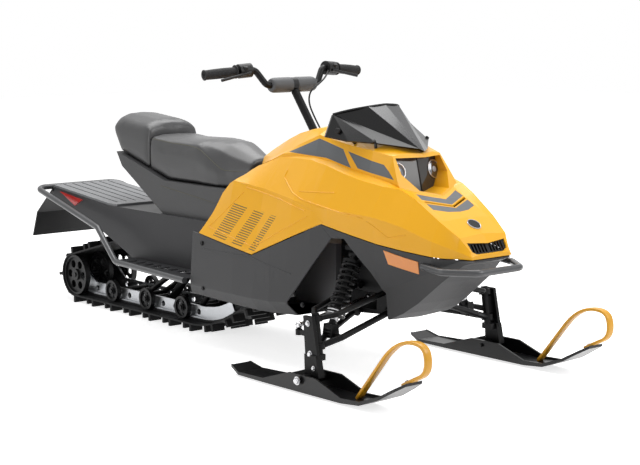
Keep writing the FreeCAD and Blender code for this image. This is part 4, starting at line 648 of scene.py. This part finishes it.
# Bolts: body, finish, place in millimetres on the right side, axis, half width across corners
FASTENERS = (
    ("spindle", "bright_steel", (768.0, -406.5, 118.0), (0.0, -1.0, 0.0), 8.0),
    ("spindle", "bright_steel", (757.0, -406.5, 212.0), (0.0, -1.0, 0.0), 7.0),
    ("spindle", "bright_steel", (790.0, -412.2, 78.0), (0.0, -1.0, 0.0), 6.0),
    ("ski", "bright_steel", (772.0, -462.0, 44.0), (0.0, -1.0, 0.0), 10.0),
    ("ski", "bright_steel", (1192.0, -400.0, 103.0), (0.3, 0.0, 1.0), 6.0),
    ("chassis", "bright_steel", (742.0, -300.0, 184.0), (1.0, 0.0, 0.0), 0.5),
    ("chassis", "black_plastic", (28.0, -263.5, 367.0), (0.0, -1.0, 0.1), 7.0),
    ("chassis", "black_plastic", (40.0, -271.0, 212.0), (0.0, -1.0, 0.0), 6.0),
    ("chassis", "black_plastic", (560.0, -262.0, 225.0), (0.1, -1.0, 0.0), 6.0),
)

# Seams of the seat, in millimetres, on the right side
SEAT_SEAMS = (
    ("front_cushion_cover", ((-498.0, -117.5, 694.0), (-380.0, -118.5, 687.0), (-203.0, -118.5, 679.0),
                             (-150.0, -118.0, 650.0), (-84.0, -114.5, 613.0), (-49.0, -106.5, 599.0),
                             (30.0, -70.0, 601.0))),
    ("seat_base", ((-403.0, -132.0, 520.0), (-197.0, -132.0, 500.0), (0.0, -132.0, 476.0))),
)

# Seat covers, in metres: how far each starts inside its foam, its grids, and the cloth solver's push
COVER_INSET = 0.0025
COVER_GRID = 0.006
COVER_PRESSURE = 4.0
COVER_STEPS = 20
COVER_FILL = 0.9

# Blank round badge on the nose: its place along X in metres, and its profiles in millimetres
BADGE_X = 1.062
BADGE_DISC = ((-3.0, 21.0), (2.0, 21.0), (2.6, 19.5))
BADGE_RING = ((-3.0, 23.5), (2.2, 23.5), (3.4, 22.6), (3.4, 21.4), (2.4, 20.6), (-3.0, 20.6))


def points_of(mesh):
    """A mesh's points as an array."""
    points = np.empty(len(mesh.vertices) * 3)
    mesh.vertices.foreach_get("co", points)
    return points.reshape(-1, 3)


def surface_of(mesh):
    """A mesh as a search tree, for the lines that meet it and for its nearest points."""
    faces = [tuple(face.vertices) for face in mesh.polygons]
    return BVHTree.FromPolygons([tuple(corner.co) for corner in mesh.vertices], faces)


def on_surface(node, start, way):
    """The point and the outward direction where a straight line meets a node's surface."""
    place, facing, _, _ = surface_of(NODES[node].data).ray_cast(start, way)
    if place is None:
        raise ValueError("the line misses " + node)
    facing = np.array(facing)
    return np.array(place), facing if float(np.dot(facing, way)) < 0.0 else -facing


def strap(path, half_width, half_thickness, sides=20):
    """A flat strap along a path in an XZ plane: a rounded flat oval with Y as its long axis, carried along."""
    path = np.asarray(path, float)
    tangent = unit(np.gradient(path, axis=0))
    across = np.array((0.0, 1.0, 0.0))
    out = unit(np.cross(tangent, across))
    angle = np.linspace(0.0, 2.0 * np.pi, sides, endpoint=False)
    wide = half_width * np.sign(np.cos(angle)) * np.abs(np.cos(angle)) ** 0.35
    thick = half_thickness * np.sign(np.sin(angle)) * np.abs(np.sin(angle)) ** 0.6
    rings = path[:, None] + wide[None, :, None] * across + thick[None, :, None] * out[:, None]
    return rings.reshape(-1, 3), tube_faces(len(path), sides, turned_round=True)


def bar_point(from_end):
    """A point on the right outer run of the handlebar, at a distance in Y from its end."""
    share = 1.0 - from_end / BAR_RUN
    sweep = BAR_BEND[0] + (BAR_END[0] - BAR_BEND[0]) * share
    rise = BAR_BEND[1] + (BAR_END[1] - BAR_BEND[1]) * share
    return np.array((BAR_CENTER[0] - sweep, from_end - BAR_HALF, BAR_CENTER[1] + rise))


def turn_to_face(place, back, overhead=(0.0, 0.0, 1.0)):
    """The matrix of a camera or lamp at a place: its own Z points back, and its own X is level."""
    back = unit(back)
    right = unit(np.cross(overhead, back))
    turn = np.eye(4)
    turn[:3, 0], turn[:3, 1], turn[:3, 2], turn[:3, 3] = right, np.cross(back, right), back, place
    return Matrix(turn.tolist())


# Sizes that a user may change


class SnowmobileSizes(bpy.types.PropertyGroup):
    panel_round: bpy.props.FloatProperty(
        name="Panel edge round", description="Radius of the round over on the body panels' edges",
        default=0.0022, min=0.0, unit="LENGTH")
    key_power: bpy.props.FloatProperty(
        name="Key light", description="Power of the large lamp above the machine", default=132.0, min=0.0)
    cushion_cap: bpy.props.FloatProperty(
        name="Cushion swell", description="Farthest that the seat's cover may swell from its foam",
        default=0.0015, min=0.0, unit="LENGTH")
    world_level: bpy.props.FloatProperty(
        name="Studio level", description="Brightness of the white room round the machine", default=0.3, min=0.0)


# Operators


class SNOW_OT_stage(bpy.types.Operator):
    """Builds the floor, the lamps, the white room and the camera."""
    bl_idname = "snowmobile.stage"
    bl_label = "Stage and camera"

    def execute(self, context):
        sizes = context.scene.snowmobile
        scene = context.scene
        camera = bpy.data.objects.new("camera", bpy.data.cameras.new("camera"))
        camera.data.lens = CAMERA_LENS
        camera.data.sensor_width = CAMERA_SENSOR
        camera.data.clip_end = CAMERA_REACH
        scene.collection.objects.link(camera)
        camera.matrix_world = turn_to_face(CAMERA_PLACE, CAMERA_BACK)
        scene.camera = camera
        scene.view_settings.view_transform = "Standard"
        self.make_world(scene, sizes.world_level)
        self.make_floor(scene)
        for name, place, aim, size, share in STUDIO_LAMPS:
            self.make_lamp(name, place, aim, size, sizes.key_power * share)
        return {"FINISHED"}

    def make_world(self, scene, level):
        world = bpy.data.worlds.new("white_room")
        scene.world = world
        world.use_nodes = True
        tree = world.node_tree
        background = tree.nodes["Background"]
        background.inputs["Color"].default_value = (1.0, 1.0, 1.0, 1.0)
        extra = math_node(tree, "MULTIPLY", seen_directly(tree), 1.0 - level)
        link(tree, math_node(tree, "ADD", extra, level), background.inputs["Strength"])

    def make_floor(self, scene):
        half = FLOOR_HALF
        corners = [(-half, -half, 0), (half, -half, 0), (half, half, 0), (-half, half, 0)]
        mesh = bpy.data.meshes.new("floor")
        mesh.from_pydata(corners, [], [(0, 1, 2, 3)])
        floor = bpy.data.objects.new("floor", mesh)
        scene.collection.objects.link(floor)
        material = bpy.data.materials.new("pale_floor")
        material.use_nodes = True
        tree = material.node_tree
        shader = tree.nodes["Principled BSDF"]
        shader.inputs["Base Color"].default_value = (0.9, 0.9, 0.9, 1.0)
        shader.inputs["Roughness"].default_value = 0.9
        glow = tree.nodes.new("ShaderNodeEmission")
        glow.inputs["Color"].default_value = (1.0, 1.0, 1.0, 1.0)
        link(tree, math_node(tree, "MULTIPLY", seen_directly(tree), FLOOR_GLOW), glow.inputs["Strength"])
        both = tree.nodes.new("ShaderNodeAddShader")
        link(tree, shader.outputs["BSDF"], both.inputs[0])
        link(tree, glow.outputs["Emission"], both.inputs[1])
        link(tree, both.outputs["Shader"], tree.nodes["Material Output"].inputs["Surface"])
        mesh.materials.append(material)

    def make_lamp(self, name, place, aim, size, power):
        data = bpy.data.lights.new(name, "AREA")
        data.shape = "SQUARE"
        data.size = size
        data.energy = power
        lamp = bpy.data.objects.new(name, data)
        bpy.context.scene.collection.objects.link(lamp)
        lamp.matrix_world = turn_to_face(place, np.array(place) - np.array(aim), LAMP_OVERHEAD)


class SNOW_OT_finishes(bpy.types.Operator):
    """Makes the materials and gives one to each construction node."""
    bl_idname = "snowmobile.finishes"
    bl_label = "Finishes"

    def execute(self, context):
        MATERIALS.update(make_finishes())
        for name, node in NODES.items():
            paint(node, NODE_FINISH[name])
        return {"FINISHED"}


class SNOW_OT_cable(bpy.types.Operator):
    """Lays the control cable from the far block down into the hood."""
    bl_idname = "snowmobile.cable"
    bl_label = "Control cable"

    def execute(self, context):
        route = metres(CABLE_ROUTE)
        data = bpy.data.curves.new("control_cable_line", "CURVE")
        data.dimensions = "3D"
        spline = data.splines.new("NURBS")
        spline.points.add(len(route) - 1)
        for point, place in zip(spline.points, route):
            point.co = (*place, 1.0)
        spline.order_u = 3
        spline.use_endpoint_u = True
        spline.resolution_u = 12
        data.bevel_depth = CABLE_RADIUS
        data.bevel_resolution = 4
        data.use_fill_caps = True
        data.materials.append(MATERIALS["black_plastic"])
        piece = bpy.data.objects.new("control_cable_line", data)
        context.scene.collection.objects.link(piece)
        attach(piece, "steering")
        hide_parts("control_cable")
        runs = step_lengths(smooth_path(route, 400))
        return {"FINISHED"}


class SNOW_OT_body_panels(bpy.types.Operator):
    """Rounds over the edges of the body panels, and gives the side panels their printed bands."""
    bl_idname = "snowmobile.body_panels"
    bl_label = "Body panels"

    def execute(self, context):
        width = context.scene.snowmobile.panel_round
        softened_copy("hood", "yellow_gloss", width)
        softened_copy("hood_inserts", "insert_grey", width * 0.3)
        for label in SIDES:
            softened_copy("side_panel_" + label, "hatched_yellow", width)
        softened_copy("belly_pan", "dark_panel", width * 1.3)
        softened_copy("nose_panel", "dark_panel", width * 1.3)
        softened_copy("side_reflectors", "amber_lens", 0.0012)
        return {"FINISHED"}


class SNOW_OT_folds(bpy.types.Operator):
    """Lays the panels' fold lines: thin ridges on the surface, found by straight lines from the side."""
    bl_idname = "snowmobile.folds"
    bl_label = "Panel folds"

    def execute(self, context):
        surfaces = {}
        for node, label, radius, corners in FOLDS:
            if node not in surfaces:
                surfaces[node] = surface_of(NODES[node].data)
            route = metres(corners)
            runs = step_lengths(route)
            place = np.concatenate([[0.0], np.cumsum(runs)])
            share = np.linspace(0.0, place[-1], max(8, int(place[-1] / 0.006)))
            flat = np.stack([np.interp(share, place, route[:, 0]), np.interp(share, place, route[:, 1])], axis=1)
            line = [surfaces[node].ray_cast((x, -0.6, z), (0.0, 1.0, 0.0))[0] for x, z in flat]
            line = np.array([tuple(point) for point in line if point is not None])
            ridge = swept(line, radius / 1000.0, 8, (0.0, 1.0, 0.0))
            both = joined([ridge, other_side(ridge)])
            add_piece("fold_" + str(len(bpy.data.objects)), *both, label, "chassis", True)
        return {"FINISHED"}


class SNOW_OT_screen(bpy.types.Operator):
    """Dresses the windshield: dark sides, a smoked middle pane, a rubber rim and its fixing knobs."""
    bl_idname = "snowmobile.screen"
    bl_label = "Windshield"

    def execute(self, context):
        piece = softened_copy("windshield", "black_gloss", 0.0012)
        mesh = piece.data
        mesh.materials.append(MATERIALS["smoked_screen"])
        centers = np.empty(len(mesh.polygons) * 3)
        normals = np.empty(len(mesh.polygons) * 3)
        mesh.polygons.foreach_get("center", centers)
        mesh.polygons.foreach_get("normal", normals)
        centers, normals = centers.reshape(-1, 3), normals.reshape(-1, 3)
        middle = (np.abs(centers[:, 1]) < 0.06) & (normals[:, 2] > 0.5) & (normals[:, 0] > 0.2)
        mesh.polygons.foreach_set("material_index", middle.astype(np.int32))
        half = metres(SCREEN_EDGE)
        top = np.concatenate([half, (half[:-1] * (1.0, -1.0, 1.0))[::-1]])
        add_piece("screen_rim", *swept(smooth_path(top, 60), 0.0034, 10), "black_plastic", "chassis", True)
        knobs = []
        for place, axis, size in SCREEN_KNOBS:
            knob = turned(metres(place), axis, np.asarray(KNOB_PROFILE) * size, 24)
            knobs += [knob, other_side(knob)]
        add_piece("screen_knobs", *joined(knobs), "black_plastic", "chassis")
        return {"FINISHED"}


class SNOW_OT_lamp(bpy.types.Operator):
    """Fits the two round lamps with their rings behind the glass, and the bar that parts it."""
    bl_idname = "snowmobile.lamp"
    bl_label = "Headlight"

    def execute(self, context):
        softened_copy("headlight_lens", "lamp_glass", 0.0006)
        top, foot, side = (metres(corner) for corner in (GLASS_TOP, GLASS_FOOT, GLASS_SIDE))
        down, out = foot - top, side - top
        facing = unit(np.cross(down, out))
        facing = facing if facing[0] > 0.0 else -facing
        place = top + LAMP_DOWN * down + LAMP_OUT * out
        for name, profile, sides, label in LAMP_PIECES:
            part = turned(place + facing * LAMP_LIFT, facing, metres(profile), sides)
            add_piece(name, *joined([part, other_side(part)]), label, "chassis", True)
        line = np.linspace(top + (0.0012, 0.0, -0.002), foot + (0.0012, 0.0, 0.004), 12)
        add_piece("lamp_split", *swept(line, 0.0016, 8, (1.0, 0.0, 0.0)), "black_plastic", "chassis")
        return {"FINISHED"}


class SNOW_OT_cushions(bpy.types.Operator):
    """Swells the two seat cushions a little with the cloth solver, and rolls the handlebar's pad."""
    bl_idname = "snowmobile.cushions"
    bl_label = "Seat cushions"

    def execute(self, context):
        sizes = context.scene.snowmobile
        for node in ("front_cushion", "rear_cushion"):
            self.swell(node, sizes.cushion_cap, COVER_INSET, COVER_FILL)
        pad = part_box("bar_pad")
        middle = (np.asarray(pad[0]) + np.asarray(pad[1])) / 2.0
        half = float(pad[1][1] - pad[0][1]) / 2.0
        reach = float(pad[1][0] - pad[0][0]) / 2.0 - 0.001
        share = np.linspace(-1.0, 1.0, 65)
        roll = reach * (1.0 - 0.22 * np.abs(share) ** 16 - 0.09 * np.exp(-(share / 0.13) ** 8))
        profile = np.stack([(share + 1.0) * half * 0.995, roll], axis=1)
        points, faces = turned(middle - (0.0, half * 0.995, 0.0), (0.0, 1.0, 0.0), profile, 40)
        piece = add_piece("bar_pad_cover", points, faces, "pad_foam", "steering", True)
        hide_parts("bar_pad")
        strap = turned(middle - (0.0, 0.011, 0.0), (0.0, 1.0, 0.0), [(0.0, reach * 0.955), (0.022, reach * 0.955)], 40)
        add_piece("bar_pad_strap", *strap, "black_plastic", "steering")
        return {"FINISHED"}

    def swell(self, node, cap, inset, fill):
        """Shrinks the solid a little, remeshes it, blows it up as cloth and limits each point's travel."""
        mesh = NODES[node].data.copy()
        mesh.name = node + "_cover"
        piece = bpy.data.objects.new(node + "_cover", mesh)
        bpy.context.scene.collection.objects.link(piece)
        reworked(mesh, merge=1e-6, turn_out=True)
        reworked(mesh, flatten=True)
        remesh = piece.modifiers.new("even grid", "REMESH")
        remesh.mode = "VOXEL"
        remesh.voxel_size = COVER_GRID
        self.apply(piece)
        before = points_of(piece.data)
        middle = (before.min(0) + before.max(0)) / 2.0
        size = (before.max(0) - before.min(0)) / 2.0
        start = middle + (before - middle) * (1.0 - inset / size)
        piece.data.vertices.foreach_set("co", start.ravel())
        cloth = piece.modifiers.new("cover", "CLOTH")
        cloth.settings.use_pressure = True
        cloth.settings.uniform_pressure_force = COVER_PRESSURE
        cloth.settings.effector_weights.gravity = 0.0
        for step in range(1, COVER_STEPS + 1):
            bpy.context.scene.frame_set(step)
        self.apply(piece)
        travel = points_of(piece.data) - start
        length = np.linalg.norm(travel, axis=1, keepdims=True)
        travel *= np.minimum(1.0, cap / np.maximum(length, 1e-9))
        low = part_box(node)[0][2] + 0.0005
        settled = start + travel
        settled[:, 2] = np.maximum(settled[:, 2], low)
        piece.data.vertices.foreach_set("co", settled.ravel())
        bpy.context.scene.frame_set(1)
        ease = piece.modifiers.new("firm foam", "SMOOTH")
        ease.factor = 0.6
        ease.iterations = 9
        smooth = piece.modifiers.new("one division", "SUBSURF")
        smooth.levels = 1
        smooth.render_levels = 1
        self.apply(piece)
        piece.data.shade_smooth()
        paint(piece, "seat_cover")
        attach(piece, "chassis")
        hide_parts(node)

    def apply(self, piece):
        bpy.context.view_layer.objects.active = piece
        for modifier in list(piece.modifiers):
            with bpy.context.temp_override(object=piece, active_object=piece, selected_objects=[piece]):
                bpy.ops.object.modifier_apply(modifier=modifier.name)


class SNOW_OT_springs(bpy.types.Operator):
    """Winds the front springs and adds the shocks' bright collars."""
    bl_idname = "snowmobile.springs"
    bl_label = "Shock springs"

    def execute(self, context):
        top, foot = metres(SHOCK_TOP), metres(SHOCK_FOOT)
        way = foot - top
        line = helix(top + 0.142 * way, top + 0.778 * way, SPRING_REACH, SPRING_TURNS)
        coil = swept(line, SPRING_WIRE, 12, unit(way))
        collar = turned(top + 0.782 * way, way, metres(COLLAR_PROFILE), 40)
        sleeve = turned(top + 0.86 * way, way, [(0.0, 0.0150), (0.010, 0.0150), (0.012, 0.0125)], 32)
        for label in SIDES:
            body = body_of_node("spring_" + label)
            spring = add_piece("spring_coil_" + label, *on_side(coil, label), "black_steel", body, True)
            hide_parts("spring_" + label)
            add_piece("shock_collar_" + label, *on_side(collar, label), "bright_steel", body)
            add_piece("shock_sleeve_" + label, *on_side(sleeve, label), "bright_steel", body)
        return {"FINISHED"}


class SNOW_OT_controls(bpy.types.Operator):
    """Models the ribbed grips with their flanges and the pivots of the levers."""
    bl_idname = "snowmobile.controls"
    bl_label = "Grips and levers"

    def execute(self, context):
        outer, inner = bar_point(0.0), bar_point(GRIP_LENGTH)
        axis = outer - inner
        length = float(np.linalg.norm(axis))
        share = np.linspace(0.0, 1.0, 221)
        ribs = 0.00055 * np.sign(np.sin(share * 2.0 * np.pi * 26.0)) * ((share > 0.1) & (share < 0.94))
        bulge = 0.0013 * np.sin(np.pi * np.clip((share - 0.05) / 0.9, 0.0, 1.0))
        radius = 0.0155 + bulge + ribs
        radius += 0.0075 * np.exp(-((share - 0.028) / 0.018) ** 6) + 0.0024 * np.exp(-((share - 0.975) / 0.02) ** 6)
        grip = turned(inner, axis, np.stack([share * length, radius], axis=1), 36)
        root = bar_point(GRIP_LENGTH + CONTROL_GAP + 0.014) + (0.020, 0.0, -0.004)
        pivot = turned(root + (0.0, 0.0, 0.010), (0.25, 0.0, 1.0), [(0, 0.0085), (0.008, 0.0085), (0.0095, 0.0070)], 24)
        clamp = turned(bar_point(GRIP_LENGTH + CONTROL_GAP + 0.023) + (-0.0205, 0.0, -0.006), (-1.0, 0.0, -0.25),
                       [(0, 0.0052), (0.005, 0.0052), (0.006, 0.0042)], 6)
        for label in SIDES:
            piece = add_piece("grip_rubber_" + label, *on_side(grip, label), "grip_rubber", "steering", True)
            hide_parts("grip_" + label)
            add_piece("lever_pivot_" + label, *on_side(joined([pivot, clamp]), label), "black_plastic", "steering")
            softened_copy("control_" + label, "black_plastic", 0.0022)
        return {"FINISHED"}


class SNOW_OT_skis(bpy.types.Operator):
    """Bends the yellow straps on the ski tips, and rounds over the skis and their spindles."""
    bl_idname = "snowmobile.skis"
    bl_label = "Skis"

    def execute(self, context):
        route = np.array([(x, -SKI_Y, z) for x, z in STRAP_ROUTE]) / 1000.0
        loop = strap(smooth_path(route, 90), 0.0135, 0.0055)
        for label in SIDES:
            body = body_of_node("ski_" + label)
            piece = add_piece("ski_strap_" + label, *on_side(loop, label), "strap_yellow", body, True)
            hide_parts("ski_loop_" + label)
            softened_copy("ski_" + label, "ski_plastic", 0.002)
            softened_copy("spindle_" + label, "black_steel", 0.0012)
        return {"FINISHED"}


class SNOW_OT_fasteners(bpy.types.Operator):
    """Sets the bolts and screws that show."""
    bl_idname = "snowmobile.fasteners"
    bl_label = "Bolts and screws"

    def execute(self, context):
        groups = {}
        for body, finish_name, place, axis, size in FASTENERS:
            part = hex_bolt(metres(place), axis, size / 1000.0)
            groups.setdefault((body, finish_name), []).append(part)
        for (body, finish_name), parts in groups.items():
            if body == "chassis":
                parts = parts + [other_side(part) for part in parts]
                add_piece("bolts_chassis_" + finish_name, *joined(parts), finish_name, body)
                continue
            add_piece("bolts_" + body + "_right_" + finish_name, *joined(parts), finish_name, body + "_right_body")
            parts = [other_side(part) for part in parts]
            add_piece("bolts_" + body + "_left_" + finish_name, *joined(parts), finish_name, body + "_left_body")
        return {"FINISHED"}


class SNOW_OT_seams(bpy.types.Operator):
    """Lays the seat's sewn seams, the crease of its base, and the blank badge on the nose."""
    bl_idname = "snowmobile.seams"
    bl_label = "Seams and badge"

    def execute(self, context):
        lines = []
        for carrier, corners in SEAT_SEAMS:
            cover = surface_of(bpy.data.objects[carrier].data)
            route = smooth_path(metres(corners), 60)
            laid = np.array([tuple(cover.find_nearest(tuple(point))[0]) for point in route])
            line = swept(laid, 0.0011, 6)
            lines += [line, other_side(line)]
        add_piece("seat_seams", *joined(lines), "seam_thread", "chassis", True)
        place, facing = on_surface("hood", (BADGE_X, 0.004, 1.0), (0.0, 0.0, -1.0))
        place[1], facing[1] = 0.0, 0.0
        disc = turned(place, facing, metres(BADGE_DISC), 64)
        ring = turned(place, facing, metres(BADGE_RING), 64)
        add_piece("nose_badge", *disc, "black_gloss", "chassis")
        add_piece("nose_badge_ring", *ring, "bright_steel", "chassis")
        return {"FINISHED"}


CLASSES = (SnowmobileSizes, SNOW_OT_stage, SNOW_OT_finishes, SNOW_OT_cable, SNOW_OT_body_panels,
           SNOW_OT_folds, SNOW_OT_screen, SNOW_OT_lamp, SNOW_OT_cushions, SNOW_OT_springs,
           SNOW_OT_controls, SNOW_OT_skis, SNOW_OT_fasteners, SNOW_OT_seams)
STEPS = ("stage", "finishes", "cable", "body_panels", "folds", "screen", "lamp", "cushions", "springs", "controls",
         "skis", "fasteners", "seams")


class SNOW_PT_panel(bpy.types.Panel):
    """Lists the sizes and the steps that dress the model."""
    bl_label = "Snowmobile"
    bl_idname = "SNOW_PT_panel"
    bl_space_type = "VIEW_3D"
    bl_region_type = "UI"
    bl_category = "Snowmobile"

    def draw(self, context):
        sizes = context.scene.snowmobile
        for label in ("panel_round", "cushion_cap", "key_power", "world_level"):
            self.layout.prop(sizes, label)
        for step in STEPS:
            self.layout.operator("snowmobile." + step)


def register():
    for entry in CLASSES + (SNOW_PT_panel,):
        bpy.utils.register_class(entry)
    bpy.types.Scene.snowmobile = bpy.props.PointerProperty(type=SnowmobileSizes)


def unregister():
    del bpy.types.Scene.snowmobile
    for entry in reversed(CLASSES + (SNOW_PT_panel,)):
        bpy.utils.unregister_class(entry)


def main():
    register()
    for step in STEPS:
        getattr(bpy.ops.snowmobile, step)()


if __name__ == "__main__":
    main()
